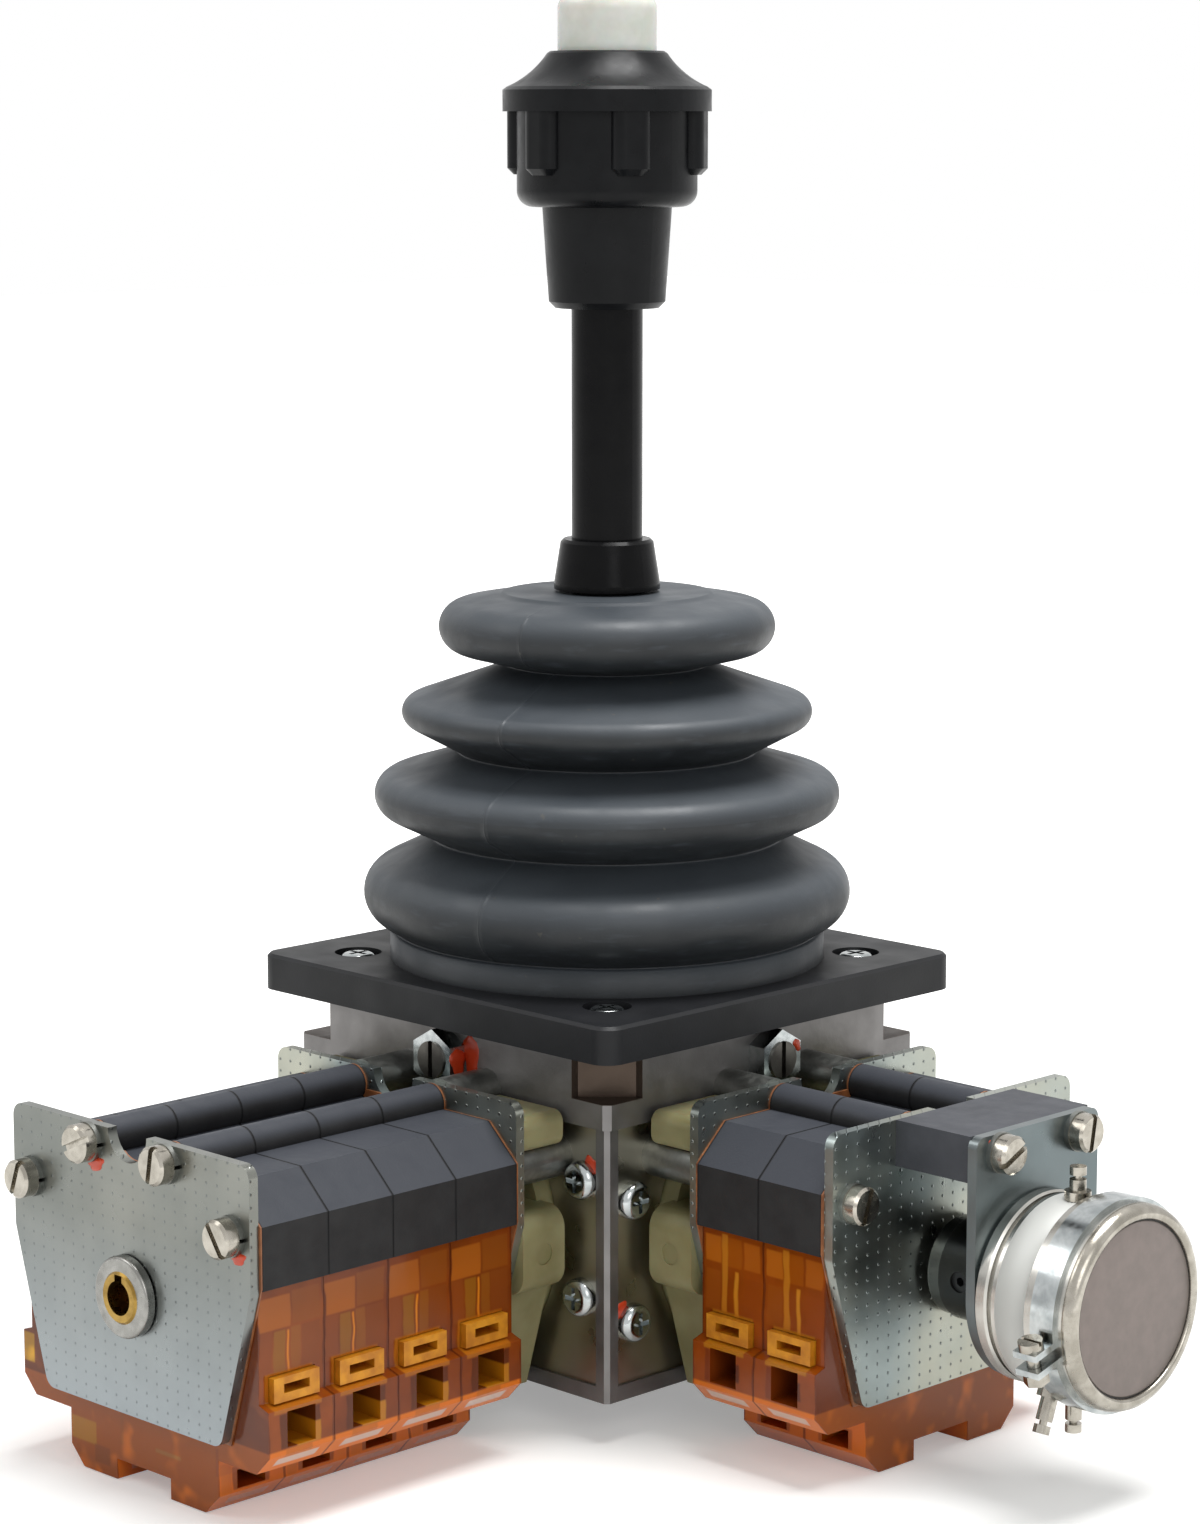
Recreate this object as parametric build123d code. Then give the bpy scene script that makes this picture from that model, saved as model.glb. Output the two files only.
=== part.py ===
from build123d import *
import math
import os

# Two-axis joystick with cam-switch stacks, in millimetres.
# The origin is the centre of the mounting plate's underside, which is the panel face. +Z is up the lever.
# The long switch stack points along -Y and the short one, with the potentiometer, along +X.

# Mounting plate
plate_size = 96.0
plate_thickness = 7.0
plate_corner = 4.0
plate_edge_break = 0.6
plate_register = 0.6
register_gap = 0.15
plate_screw_spacing = 68.6
counterbore_radius = 4.6
counterbore_depth = 2.6

# Housing
block_size = 85.0
block_height = 13.8
block_notch = 9.1
block_notch_height = 9.0
block_notch_step = 1.6
block_chamfer = 1.2
case_size = 83.0
case_height = 51.8
case_wall = 5.0
case_post = 12.0
case_floor = 3.0
case_floor_hole = 10.0
face_recess = 2.6
face_thickness = 2.0
face_margin = 2.9
face_opening = 28.0
face_opening_height = 40.0
face_opening_gap = 0.5

# Crossed shafts
shaft_height = -37.2
shaft_radius = 5.0
running_gap = 0.05
clear_gap = 0.3
tilt_limit = 20.0
opening_gap = 1.7
bush_wall = 2.2
bush_flange = 1.8

# Lever
rod_radius = 6.8
hub_width = 14.0
hub_height = 17.0
tail_radius = 3.0
tail_length = 23.5
pin_radius = 3.0
collar_bottom = 78.4
collar_top = 88.0
collar_bottom_radius = 10.2
collar_top_radius = 8.95

# Yoke and bow
yoke_length = 29.0
yoke_width = 24.4
yoke_height = 11.0
yoke_wall = 4.2
bow_reach = 22.5
bow_arm = 4.0
bow_width = 12.0
bow_drop = 17.0
bow_round = 6.0
slot_gap = 0.8
slot_length = 25.4

# Grip and button, from the skirt up
skirt_bottom = 132.0
skirt_length = 19.0
skirt_bottom_radius = 11.1
skirt_top_radius = 12.3
grip_bottom = skirt_bottom + skirt_length
grip_length = 17.8
grip_radius = 17.1
grip_base_round = 3.0
grip_rib_radius = 19.2
grip_rib_count = 6
grip_rib_turn = 30.0
grip_rib_width = 7.4
grip_rib_round = 2.4
rib_start = 6.0
rib_bottom = grip_bottom + rib_start
rim_bottom = grip_bottom + grip_length
rim_height = 4.6
rim_top = rim_bottom + rim_height
rim_radius = 19.75
rod_recess = 2.8
rod_top = rim_bottom - rod_recess
cap_height = 6.6
cap_top = rim_top + cap_height
cap_bulge = 2.2
cap_lip = 1.7
cap_shelf = 1.0
button_radius = 9.35
button_proud = 11.2
button_top = cap_top + button_proud
button_travel = 3.0
button_round = 3.4
button_dome = 32.0
button_flange = 1.1
spring_radius = 5.4
spring_wire = 0.6
spring_coils = 2.5

# Bellows
skirt_radius = 42.2
skirt_shoulder = 5.0
fold_radii = [47.2, 45.0, 39.6, 32.4]
fold_heights = [19.8, 38.8, 54.8, 71.2]
fold_rounds = [6.6, 4.4, 3.0, 5.0]
neck_radii = [41.0, 33.6, 28.4, 19.4]
neck_heights = [12.4, 30.5, 47.0, 64.0]
bellows_top = 77.8
bellows_top_radius = 21.1
bellows_wall = 2.2

# Switch stacks
stack_start = 56.2
end_plate_thickness = 2.0
sheet_thickness = 0.3
element_pitch = 15.0
element_gap = 0.1
long_count = 4
short_count = 2
end_plate_top = -7.8
end_plate_shoulder = -30.5
end_plate_foot = -59.3
end_plate_foot_half = 24.4
end_plate_corner = 2.5
plate_notch_radius = 5.4
top_half_width = 33.5
plate_inset = 0.5
plate_half_width = top_half_width - plate_inset
top_joint = -30.0
shoulder_low = -18.7
shoulder_high = -12.0
shoulder_half = 26.2
ridge_offset = 10.8
ridge_height = -11.2
ridge_radius = 3.5
groove_height = -13.5
base_inset = 1.5
base_half_width = top_half_width - base_inset
ledge_reach = 2.5
ledge_half = base_half_width + ledge_reach
ledge_top = -50.5
ledge_side_low = -59.5
ledge_bottom = -63.0
ledge_chamfer = 3.4
ledge_window_depth = 9.0
foot_half = 20.8
foot_bottom = -73.3
foot_chamfer = 3.6
foot_notch_half = 7.6
foot_notch_height = 3.8
cam_radius = 13.2
cam_thickness = 8.0
cam_flat = 10.4
cavity_radius = 14.4
cavity_wall = 1.9
shaft_hole_gap = 1.0
terminal_pocket_width = 10.6
terminal_pocket_height = 4.6
terminal_pocket_depth = 7.0
wire_hole = 6.4
foot_window_height = 3.4
foot_window_depth = 8.0
pocket_gap = 0.15

# Tie screws of the stacks
tie_radius = 1.75
tie_gap = 0.15
tie_side_inset = 13.5
tie_side_offset = case_size / 2 - tie_side_inset
tie_side_height = -20.8
tie_head_radius = 3.5
tie_head_height = 2.8
slot_width = 1.1
slot_depth = 1.2
washer_radius = 3.7
washer_thickness = 1.0
spacer_radius = 4.0
tie_engagement = 4.0

# Small screws
pan_head_radius = 3.6
pan_head_height = 2.5
pan_screw_radius = 1.9
pan_screw_length = 7.0
cross_width = 0.9
cross_length = 4.2
cross_depth = 1.1
face_screw_insets = [(6.6, -24.3), (6.9, -46.5)]
side_screw_insets = [(6.8, -28.2), (6.9, -51.3)]
stop_height = -6.7
stop_radius = 3.5
stop_nut_width = 10.0
stop_nut_thickness = 4.0
stop_reach = 19.6
stop_proud = 0.4

# Nylon carriers between the housing and the stacks
carrier_clearance = 0.3
carrier_spigot_gap = 0.4
carrier_head_inset = 0.7
carrier_head_half = plate_half_width - carrier_head_inset
carrier_head_top = -11.3
carrier_head_low = -17.8
carrier_head_round = 2.2
carrier_saddle = -16.4
carrier_web_half = 21.4
carrier_hub_inset = 0.3
carrier_hub_half = plate_half_width - carrier_hub_inset
carrier_hub_top = -29.3
carrier_hub_low = -44.6
carrier_hub_round = 4.0
carrier_limb_inset = 4.3
carrier_limb_half = carrier_hub_half - carrier_limb_inset
carrier_foot_half = 22.5
carrier_foot = -65.0
carrier_inner_half = 15.4
carrier_mark_radius = 2.1
carrier_mark_depth = 0.3

# Shaft ends, coupling and potentiometer
collar_ring_radius = 7.4
collar_ring_length = 1.9
collar_seat_gap = 0.3
end_bush_radius = 4.75
end_bush_seat = 6.0
end_bush_spigot = 3.0
end_bush_spigot_length = 4.0
key_bore = 3.1
key_bore_depth = 8.0
key_width = 2.0
key_depth = 1.1
long_shaft_proud = 2.6
coupling_radius = 9.5
coupling_start = 90.4
coupling_step = 2.8
coupling_length = 13.2
grub_radius = 1.9
spacer_block_half = 16.4
spacer_block_bottom = -16.2
spacer_block_length = 17.1
bracket_half = 17.0
bracket_foot_radius = 17.0
pot_shaft_radius = 3.0
pot_flange_radius = 17.4
pot_flange_length = 2.7
pot_groove_radius = 16.2
pot_groove_length = 1.1
pot_body_radius = 17.2
pot_body_length = 8.4
pot_can_radius = 18.5
pot_can_length = 8.2
pot_cover_length = 2.3
pot_cover_round = 1.6
pot_hole_depth = 14.0
band_thickness = 0.8
band_width = 5.0
band_lug = 5.6
band_lug_gap = 2.2
band_lug_thickness = 1.2
band_screw_radius = 1.2
band_screw_head = 2.2
band_turn = -105.0
turret_radius = 1.5
turret_foot = 0.9
turret_foot_height = 1.6
turret_groove = 0.8
turret_collar = 1.9
turrets = [(0.0, 6.0), (180.0, 8.0), (201.5, 8.0)]
return_spring_wire = 0.8
return_spring_turns = 4.5


def cuboid(low, high):
    """A box given by its lowest and highest corners."""
    size = [b - a for a, b in zip(low, high)]
    centre = [(a + b) / 2 for a, b in zip(low, high)]
    return Pos(*centre) * Box(*size)


def upright(radius, low, high, x=0.0, y=0.0):
    """A round bar along Z."""
    return Pos(x, y, (low + high) / 2) * Cylinder(radius, high - low)


def outward(radius, start, end, x=0.0, z=0.0):
    """A round bar along -Y, from one distance from the lever's plane to another."""
    return Pos(x, -(start + end) / 2, z) * Rot(90, 0, 0) * Cylinder(radius, end - start)


def slab(outline, start, end):
    """A flat piece facing -Y: its outline is in X and Z, its thickness runs from start to end."""
    face = make_face(Polyline(*outline, close=True))
    return Pos(0, -start, 0) * extrude(Plane.XZ * face, end - start)


def mirrored(half):
    """A closed outline from its right half, listed from top to bottom."""
    return half + [(-x, z) for x, z in reversed(half)]


def to_right(piece):
    """The same piece on the +X side."""
    return Rot(0, 0, 90) * piece


def revolved(profile):
    """A turned piece about Z from its radius and height pairs."""
    face = make_face(Polyline(*profile, close=True))
    return revolve(Plane.XZ * face, Axis.Z)


def rod_reach(height):
    """How far the rod's skin gets from the lever's axis at a height, with the lever over both ways at once."""
    upright_share = math.cos(math.radians(tilt_limit)) ** 2
    lean = math.sqrt(1 - upright_share ** 2) / upright_share
    return (height - shaft_height) * lean + rod_radius / upright_share


def grouped(pieces):
    """Separate solids that share one node."""
    return Compound(children=list(pieces))


def face_hole(gap, start, end):
    """The round opening of a face with its flat top and bottom, made larger or smaller by a gap."""
    hole = outward(face_opening + gap, start, end, 0, shaft_height)
    half = face_opening_height / 2 + gap
    band = cuboid((-face_opening - gap - 1, -end, shaft_height - half),
                  (face_opening + gap + 1, -start, shaft_height + half))
    return hole & band


nodes = {}


# Mounting plate, with a shallow register that the block sits in and a rim that lies on the panel.
# The register has a relief over each lock nut, whose upper corner comes close to the panel face.
def make_mounting_plate():
    plate = extrude(RectangleRounded(plate_size, plate_size, plate_corner), plate_thickness)
    plate = chamfer(plate.edges().group_by(Axis.Z)[-1], plate_edge_break)
    seat = block_size / 2 + register_gap
    plate -= cuboid((-seat, -seat, -1), (seat, seat, plate_register))
    relief = cuboid((-stop_nut_width / 2, -seat - stop_nut_thickness, -1), (stop_nut_width / 2, 0, plate_register))
    for turn in range(4):
        plate -= Rot(0, 0, 90 * turn) * relief
    plate -= upright(rod_reach(plate_thickness) + opening_gap, -1, plate_thickness + 1)
    for place in GridLocations(plate_screw_spacing, plate_screw_spacing, 2, 2):
        plate -= place * upright(counterbore_radius, plate_thickness - counterbore_depth, plate_thickness + 1)
        plate -= place * upright(pan_screw_radius + tie_gap, -1, plate_thickness)
    return plate


def pan_head_screw(length):
    """A pan-head screw with its head above z = 0 and a cross recess."""
    head = extrude(Circle(pan_head_radius), pan_head_height)
    head = fillet(head.edges().group_by(Axis.Z)[-1], pan_head_height * 0.6)
    for angle in (0, 90):
        bar = Box(cross_length, cross_width, cross_depth)
        head -= Pos(0, 0, pan_head_height - cross_depth / 2 + 0.05) * Rot(0, 0, angle) * bar
    return head + upright(pan_screw_radius, -length, 0)


def make_plate_screws():
    seat = plate_thickness - counterbore_depth
    screw = pan_head_screw(seat + pan_screw_length)
    return grouped(place * Pos(0, 0, seat) * screw
                   for place in GridLocations(plate_screw_spacing, plate_screw_spacing, 2, 2))


# Cast upper block
def make_upper_housing():
    block = Pos(0, 0, -block_height) * extrude(Rectangle(block_size, block_size), block_height + plate_register)
    block = chamfer(block.edges().filter_by(Axis.Z), block_chamfer)
    half = block_size / 2
    inner = half - block_notch
    step = half - block_notch_step
    notch = make_face(Polyline((half, half), (inner, half), (inner, step), (step, inner), (half, inner), close=True))
    notch = Pos(0, 0, -block_notch_height) * extrude(notch, block_notch_height + plate_register)
    opening = rod_reach(0) + opening_gap
    block -= upright(opening, -block_height - 1, 1)
    for place in GridLocations(plate_screw_spacing, plate_screw_spacing, 2, 2):
        block -= place * upright(pan_screw_radius, -pan_screw_length, 1)
    for turn in range(4):
        block -= Rot(0, 0, 90 * turn) * notch
        hole = outward(stop_radius, opening - stop_radius, half + 1, 0, stop_height)
        block -= Rot(0, 0, 90 * turn) * hole
    for side in (-1, 1):
        tie = outward(tie_radius, half - tie_engagement, half + 1, side * ridge_offset, ridge_height)
        block -= tie
        block -= to_right(tie)
    return block


# Cast lower case: four corner posts, recessed faces, a floor with a cable hole
def make_lower_housing():
    top = -block_height
    bottom = top - case_height
    half = case_size / 2
    inner = half - case_wall
    case = Pos(0, 0, bottom) * extrude(Rectangle(case_size, case_size), case_height)
    case = chamfer(case.edges().filter_by(Axis.Z), 0.8)
    room = cuboid((-inner, -inner, bottom + case_floor), (inner, inner, top + 1))
    for place in GridLocations(2 * half - case_post, 2 * half - case_post, 2, 2):
        room -= place * cuboid((-case_post / 2, -case_post / 2, bottom), (case_post / 2, case_post / 2, top + 2))
    case -= room
    case -= upright(case_floor_hole, bottom - 1, bottom + case_floor + 1)
    recess = cuboid((-half + face_margin, -half - 1, bottom + face_margin),
                    (half - face_margin, -half + face_recess, top + 1))
    opening = face_hole(face_opening_gap, half - case_wall - 1, half + 1)
    bearing = outward(bush_radius(), inner - 1, half + 1, 0, shaft_height)
    side_tie = [outward(tie_radius, half - face_recess - tie_engagement, half + 1, side * tie_side_offset,
                        tie_side_height) for side in (-1, 1)]
    for move in (lambda piece: piece, to_right):
        case -= move(recess)
        case -= move(opening)
        case -= Rot(0, 0, 180) * move(bearing)
        for tie in side_tie:
            case -= move(tie)
    for screw in face_screw_places():
        case -= screw * upright(pan_screw_radius, -pan_screw_length, 1)
    return case


def bush_radius():
    return shaft_radius + running_gap + bush_wall


def face_plane():
    """Distance from the lever's plane to the outside of the face plates."""
    return case_size / 2 - face_recess + face_thickness


def face_screw_places():
    """Places of the face screws: heads outward, front face first, then the right one."""
    places = []
    for inset, z in face_screw_insets:
        for side in (-1, 1):
            places.append(Pos(side * (case_size / 2 - inset), -face_plane(), z) * Rot(90, 0, 0))
    for inset, z in side_screw_insets:
        for side in (-1, 1):
            places.append(Pos(face_plane(), side * (case_size / 2 - inset), z) * Rot(0, 90, 0))
    return places


def make_face_plate(screws):
    """A sheet that closes a face of the case around the nylon carrier, in its front place."""
    half = case_size / 2 - face_margin
    top = -block_height
    bottom = top - case_height + face_margin
    sheet = slab([(half, top), (half, bottom), (-half, bottom), (-half, top)],
                 face_plane() - face_thickness, face_plane())
    sheet -= face_hole(0, face_plane() - 5, face_plane() + 1)
    for side in (-1, 1):
        sheet -= outward(tie_radius, face_plane() - 5, face_plane() + 1, side * tie_side_offset, tie_side_height)
        for inset, z in screws:
            sheet -= outward(pan_screw_radius, face_plane() - 5, face_plane() + 1, side * (case_size / 2 - inset), z)
    return sheet


def make_face_screws():
    return grouped(place * pan_head_screw(pan_screw_length) for place in face_screw_places())


# Adjustable end stops for the lever
def make_stop_screw():
    end = block_size / 2 + stop_nut_thickness + stop_proud
    screw = outward(stop_radius, stop_reach, end, 0, stop_height)
    screw -= cuboid((-slot_width / 2, -end - 1, stop_height - stop_radius - 1),
                    (slot_width / 2, -end + slot_depth, stop_height + stop_radius + 1))
    return screw


def make_stop_nut():
    nut = extrude(RegularPolygon(stop_nut_width / 2, 6, major_radius=False), stop_nut_thickness)
    nut -= upright(stop_radius, -1, stop_nut_thickness + 1)
    return Pos(0, -block_size / 2, stop_height) * Rot(90, 0, 0) * Rot(0, 0, 30) * nut


def four_sides(piece):
    return grouped(Rot(0, 0, 90 * turn) * piece for turn in range(4))


# Rubber bellows, one closed wall from the skirt to the flat top
def tangent_point(outside, centre, radius, turn):
    """Where a line from a point outside touches a circle, on the side that turn picks."""
    across, along = outside[0] - centre[0], outside[1] - centre[1]
    angle = math.atan2(along, across) + turn * math.acos(radius / math.hypot(across, along))
    return centre[0] + radius * math.cos(angle), centre[1] + radius * math.sin(angle)


def make_bellows():
    seat = plate_thickness
    outer = [(skirt_radius, seat), (skirt_radius, seat + skirt_shoulder)]
    outer_line = [Line(outer[0], outer[1])]
    here = outer[1]
    top_edge = (bellows_top_radius, bellows_top)
    necks = list(zip(neck_radii, neck_heights)) + [top_edge]
    for fold in range(len(fold_radii)):
        crest = (fold_radii[fold], fold_heights[fold])
        centre = (crest[0] - fold_rounds[fold], crest[1])
        low = tangent_point(necks[fold], centre, fold_rounds[fold], 1)
        high = tangent_point(necks[fold + 1], centre, fold_rounds[fold], -1)
        outer_line.append(Line(here, necks[fold]))
        outer_line.append(Line(necks[fold], low))
        outer_line.append(ThreePointArc(low, crest, high))
        here = high
    inner_hole = rod_radius + clear_gap
    outer_line.append(Line(here, top_edge))
    outer_line.append(Line(top_edge, (inner_hole, bellows_top)))
    under = bellows_top - bellows_wall
    outer_line.append(Line((inner_hole, bellows_top), (inner_hole, under)))
    back = (bellows_top_radius - 2.0, under)
    outer_line.append(Line((inner_hole, under), back))
    here = back
    for fold in (3, 2, 1, 0):
        crest = (fold_radii[fold] - bellows_wall, fold_heights[fold])
        neck = (neck_radii[fold] - bellows_wall, neck_heights[fold])
        outer_line.append(Line(here, crest))
        outer_line.append(Line(crest, neck))
        here = neck
    floor_inner = (skirt_radius - bellows_wall - 2.0, seat)
    outer_line.append(Line(here, floor_inner))
    outer_line.append(Line(floor_inner, outer[0]))
    face = make_face(Curve() + outer_line)
    return revolve(Plane.XZ * face, Axis.Z)


# Yoke and cam shaft along X
def shaft_end_long():
    return outer_face(long_count) + long_shaft_proud


def make_shaft_x():
    ring = Box(yoke_length, yoke_width, yoke_height)
    ring = fillet(ring.edges().filter_by(Axis.Z), 4.0)
    ring -= Box(yoke_length - 2 * yoke_wall, yoke_width - 2 * yoke_wall - 0.4, yoke_height + 2)
    ring -= Rot(90, 0, 0) * Cylinder(pin_radius + running_gap, yoke_width + 2)
    half = yoke_length / 2
    inner_end = half - 0.5
    right = to_right(outward(shaft_radius, inner_end, coupling_start + coupling_length * 0.55))
    left = Rot(0, 0, -90) * outward(shaft_radius, inner_end, case_size / 2 - clear_gap)
    return Pos(0, 0, shaft_height) * (ring + right + left)


# Slotted bow and cam shaft along Y
def make_shaft_y():
    reach = bow_reach
    inner = reach - bow_arm
    profile = [(-reach, 6.0), (-inner, 6.0), (-inner, -bow_drop), (inner, -bow_drop),
               (inner, 6.0), (reach, 6.0), (reach, -bow_drop - bow_arm), (-reach, -bow_drop - bow_arm)]
    bow = extrude(Plane.YZ * make_face(Polyline(*profile, close=True)), bow_width / 2, both=True)
    corners = bow.edges().filter_by(Axis.X).group_by(Axis.Z)[0]
    bow = fillet(corners, bow_round)
    half_slot = tail_radius + slot_gap
    slot = extrude(SlotOverall(slot_length, 2 * half_slot, rotation=90), bow_arm + 2)
    bow -= Pos(0, 0, -bow_drop - bow_arm - 1) * slot
    front = outward(shaft_radius, inner + 0.5, end_bush_start())
    front -= outward(end_bush_spigot, end_bush_start() - end_bush_spigot_length, end_bush_start() + 1)
    rear = Rot(0, 0, 180) * outward(shaft_radius, inner + 0.5, case_size / 2 - clear_gap)
    return Pos(0, 0, shaft_height) * (bow + front + rear)


def make_cam(flat_angle):
    """A disc with one flat, which frees the contact in the middle of the lever's travel."""
    cam = outward(cam_radius, 0, cam_thickness)
    cutter = cuboid((-cam_radius, -cam_thickness - 1, -cam_radius - 1), (cam_radius, 1, -cam_flat))
    cam -= Rot(0, flat_angle, 0) * cutter
    return cam - outward(shaft_radius, -1, cam_thickness + 1)


def element_start(index):
    return stack_start + sheet_thickness + element_pitch * index + element_gap / 2


def make_cams(count):
    offset = (element_pitch - cam_thickness) / 2
    angles = [0, 40, -40, 180]
    return grouped(Pos(0, -element_start(i) - offset, shaft_height) * make_cam(angles[i % 4])
                   for i in range(count))


# Bushes, return springs and carriers
def make_bush():
    length = case_wall
    inner = case_size / 2 - case_wall
    bush = outward(bush_radius(), inner, inner + length - clear_gap, 0, shaft_height)
    bush += outward(bush_radius() + 1.5, inner - bush_flange, inner, 0, shaft_height)
    return bush - outward(shaft_radius + running_gap, inner - 5, inner + length + 1, 0, shaft_height)


def make_carrier_bush():
    start = face_plane() - face_thickness
    bush = outward(bush_radius(), start, stack_start - end_plate_thickness, 0, shaft_height)
    return bush - outward(shaft_radius + running_gap, start - 1, stack_start + 1, 0, shaft_height)


def make_bushes():
    rear = Rot(0, 0, 180) * make_bush()
    left = Rot(0, 0, -90) * make_bush()
    front = make_carrier_bush()
    return grouped([rear, left, front, to_right(make_carrier_bush())])


def make_return_spring():
    inner = shaft_radius + clear_gap
    radius = inner + return_spring_wire
    start = bow_reach + 1.2
    end = face_plane() - face_thickness - return_spring_wire - clear_gap
    length = end - start
    path = Helix(pitch=length / return_spring_turns, height=length, radius=radius)
    wire = Plane(origin=path @ 0, z_dir=path % 0) * Circle(return_spring_wire)
    coil = sweep(wire, path=path)
    return Pos(0, -start, shaft_height) * Rot(90, 0, 0) * coil


def make_carrier():
    start = face_plane()
    end = stack_start - end_plate_thickness
    shoulder = start + pan_head_height + carrier_clearance
    body = slab(mirrored([
        (carrier_inner_half, carrier_saddle), (carrier_inner_half, carrier_head_top),
        (carrier_head_half, carrier_head_top), (carrier_head_half, carrier_head_low),
        (carrier_web_half, carrier_head_low), (carrier_web_half, carrier_hub_top),
        (carrier_hub_half, carrier_hub_top), (carrier_hub_half, carrier_hub_low),
        (carrier_limb_half, carrier_hub_low), (carrier_foot_half, carrier_foot)]), shoulder, end)
    for half, rounding in ((carrier_head_half, carrier_head_round), (carrier_hub_half, carrier_hub_round)):
        corners = body.edges().filter_by(Axis.Y)
        body = fillet([edge for edge in corners if abs(abs(edge.center().X) - half) < 0.01], rounding)
    body += face_hole(-carrier_spigot_gap, start - face_thickness, shoulder + 1)
    for side in (-1, 1):
        body -= outward(spacer_radius + carrier_clearance, start - 5, end + 1, side * tie_side_offset,
                        tie_side_height)
        mark = Rot(0, 90, 0) * Cylinder(carrier_mark_radius, 2 * carrier_mark_depth)
        body -= Pos(side * carrier_hub_half, -(shoulder + end) / 2, shaft_height) * mark
    return body - outward(bush_radius(), start - 5, end + 1, 0, shaft_height)


# End plates of the stacks
def end_plate_outline():
    return mirrored([(plate_half_width, end_plate_top), (plate_half_width, end_plate_shoulder),
                     (end_plate_foot_half, end_plate_foot)])


def make_end_plate(start, side_hole):
    plate = slab(end_plate_outline(), start, start + end_plate_thickness)
    plate = fillet(plate.edges().filter_by(Axis.Y), end_plate_corner)
    plate -= outward(plate_notch_radius, start - 1, start + end_plate_thickness + 1, 0, end_plate_top)
    plate -= outward(side_hole, start - 1, start + end_plate_thickness + 1, 0, shaft_height)
    for x, z in tie_places():
        plate -= outward(tie_radius + tie_gap, start - 1, start + end_plate_thickness + 1, x, z)
    return plate


def tie_places():
    return [(side * x, z) for x, z in ((tie_side_offset, tie_side_height), (ridge_offset, ridge_height))
            for side in (-1, 1)]


def make_sheet(start):
    """An insulating sheet with the outline of the black upper moulding."""
    half = [(ridge_offset + ridge_radius, shoulder_high), (shoulder_half, shoulder_high),
            (top_half_width, shoulder_low), (top_half_width, end_plate_shoulder + 1),
            (end_plate_foot_half + 0.4, end_plate_foot)]
    sheet = slab(mirrored(half), start, start + sheet_thickness)
    for side in (-1, 1):
        sheet += outward(ridge_radius, start, start + sheet_thickness, side * ridge_offset, ridge_height)
    sheet -= outward(plate_notch_radius, start - 1, start + 1, 0, end_plate_top)
    sheet -= outward(shaft_radius + shaft_hole_gap, start - 1, start + 1, 0, shaft_height)
    for x, z in tie_places():
        sheet -= outward(tie_radius + tie_gap, start - 1, start + 1, x, z)
    return sheet


# Contact elements
def element_hollow(start):
    """Room for the cam and the shaft inside one element."""
    end = start + element_pitch - element_gap
    room = outward(cavity_radius, start + cavity_wall, end - cavity_wall, 0, shaft_height)
    return room + outward(shaft_radius + shaft_hole_gap, start - 1, end + 1, 0, shaft_height)


def make_contact_top(index):
    start = element_start(index)
    end = start + element_pitch - element_gap
    half = [(ridge_offset - ridge_radius + 0.6, groove_height), (ridge_offset, shoulder_high),
            (shoulder_half, shoulder_high), (top_half_width, shoulder_low), (top_half_width, top_joint)]
    top = slab(mirrored(half), start, end)
    for side in (-1, 1):
        top += outward(ridge_radius, start, end, side * ridge_offset, ridge_height)
    for x, z in tie_places():
        top -= outward(tie_radius + tie_gap, start - 1, end + 1, x, z)
    return top - element_hollow(start)


def make_contact_base(index):
    start = element_start(index)
    end = start + element_pitch - element_gap
    half = [(base_half_width, top_joint), (base_half_width, ledge_top), (ledge_half, ledge_top - 0.8),
            (ledge_half, ledge_side_low), (ledge_half - ledge_chamfer, ledge_bottom), (foot_half, ledge_bottom),
            (foot_half, foot_bottom + foot_chamfer), (foot_half - foot_chamfer, foot_bottom),
            (foot_notch_half, foot_bottom), (foot_notch_half, foot_bottom + foot_notch_height)]
    base = slab(mirrored(half), start, end)
    middle = (start + end) / 2
    for side in (-1, 1):
        base -= terminal_room(side, middle, terminal_pocket_width, terminal_pocket_height)
        base -= side_block(side, ledge_half - ledge_window_depth, ledge_half + 1, middle, wire_hole,
                           ledge_side_low + 1.2, ledge_side_low + 1.2 + wire_hole)
        base -= side_block(side, foot_half - foot_window_depth, foot_half + 1, middle, wire_hole,
                           foot_bottom + foot_chamfer + 0.6, foot_bottom + foot_chamfer + 0.6 + foot_window_height)
    return base - element_hollow(start)


def side_block(side, inner, outer, middle, width, low, high):
    """A block that reaches in from the side of an element."""
    a, b = sorted((side * inner, side * outer))
    return cuboid((a, -middle - width / 2, low), (b, -middle + width / 2, high))


def terminal_room(side, middle, width, height):
    return side_block(side, base_half_width - terminal_pocket_depth, base_half_width + 1, middle, width,
                      ledge_top, ledge_top + height)


def make_terminal(index, side):
    """A brass terminal clamp with a wire slot, seated in its pocket on the ledge."""
    start = element_start(index)
    middle = start + (element_pitch - element_gap) / 2
    width = terminal_pocket_width - 2 * pocket_gap
    low = ledge_top
    high = ledge_top + terminal_pocket_height - pocket_gap
    inner = base_half_width - terminal_pocket_depth + pocket_gap
    clamp = side_block(side, inner, base_half_width + 1.4, middle, width, low, high)
    slot = side_block(side, inner + 1.5, base_half_width + 3, middle, width * 0.56, low + 1.5, high - 1.3)
    return clamp - slot


def make_terminals():
    long_ones = [make_terminal(i, side) for i in range(long_count) for side in (-1, 1)]
    short_ones = [to_right(make_terminal(i, side)) for i in range(short_count) for side in (-1, 1)]
    return grouped(long_ones + short_ones)


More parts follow.
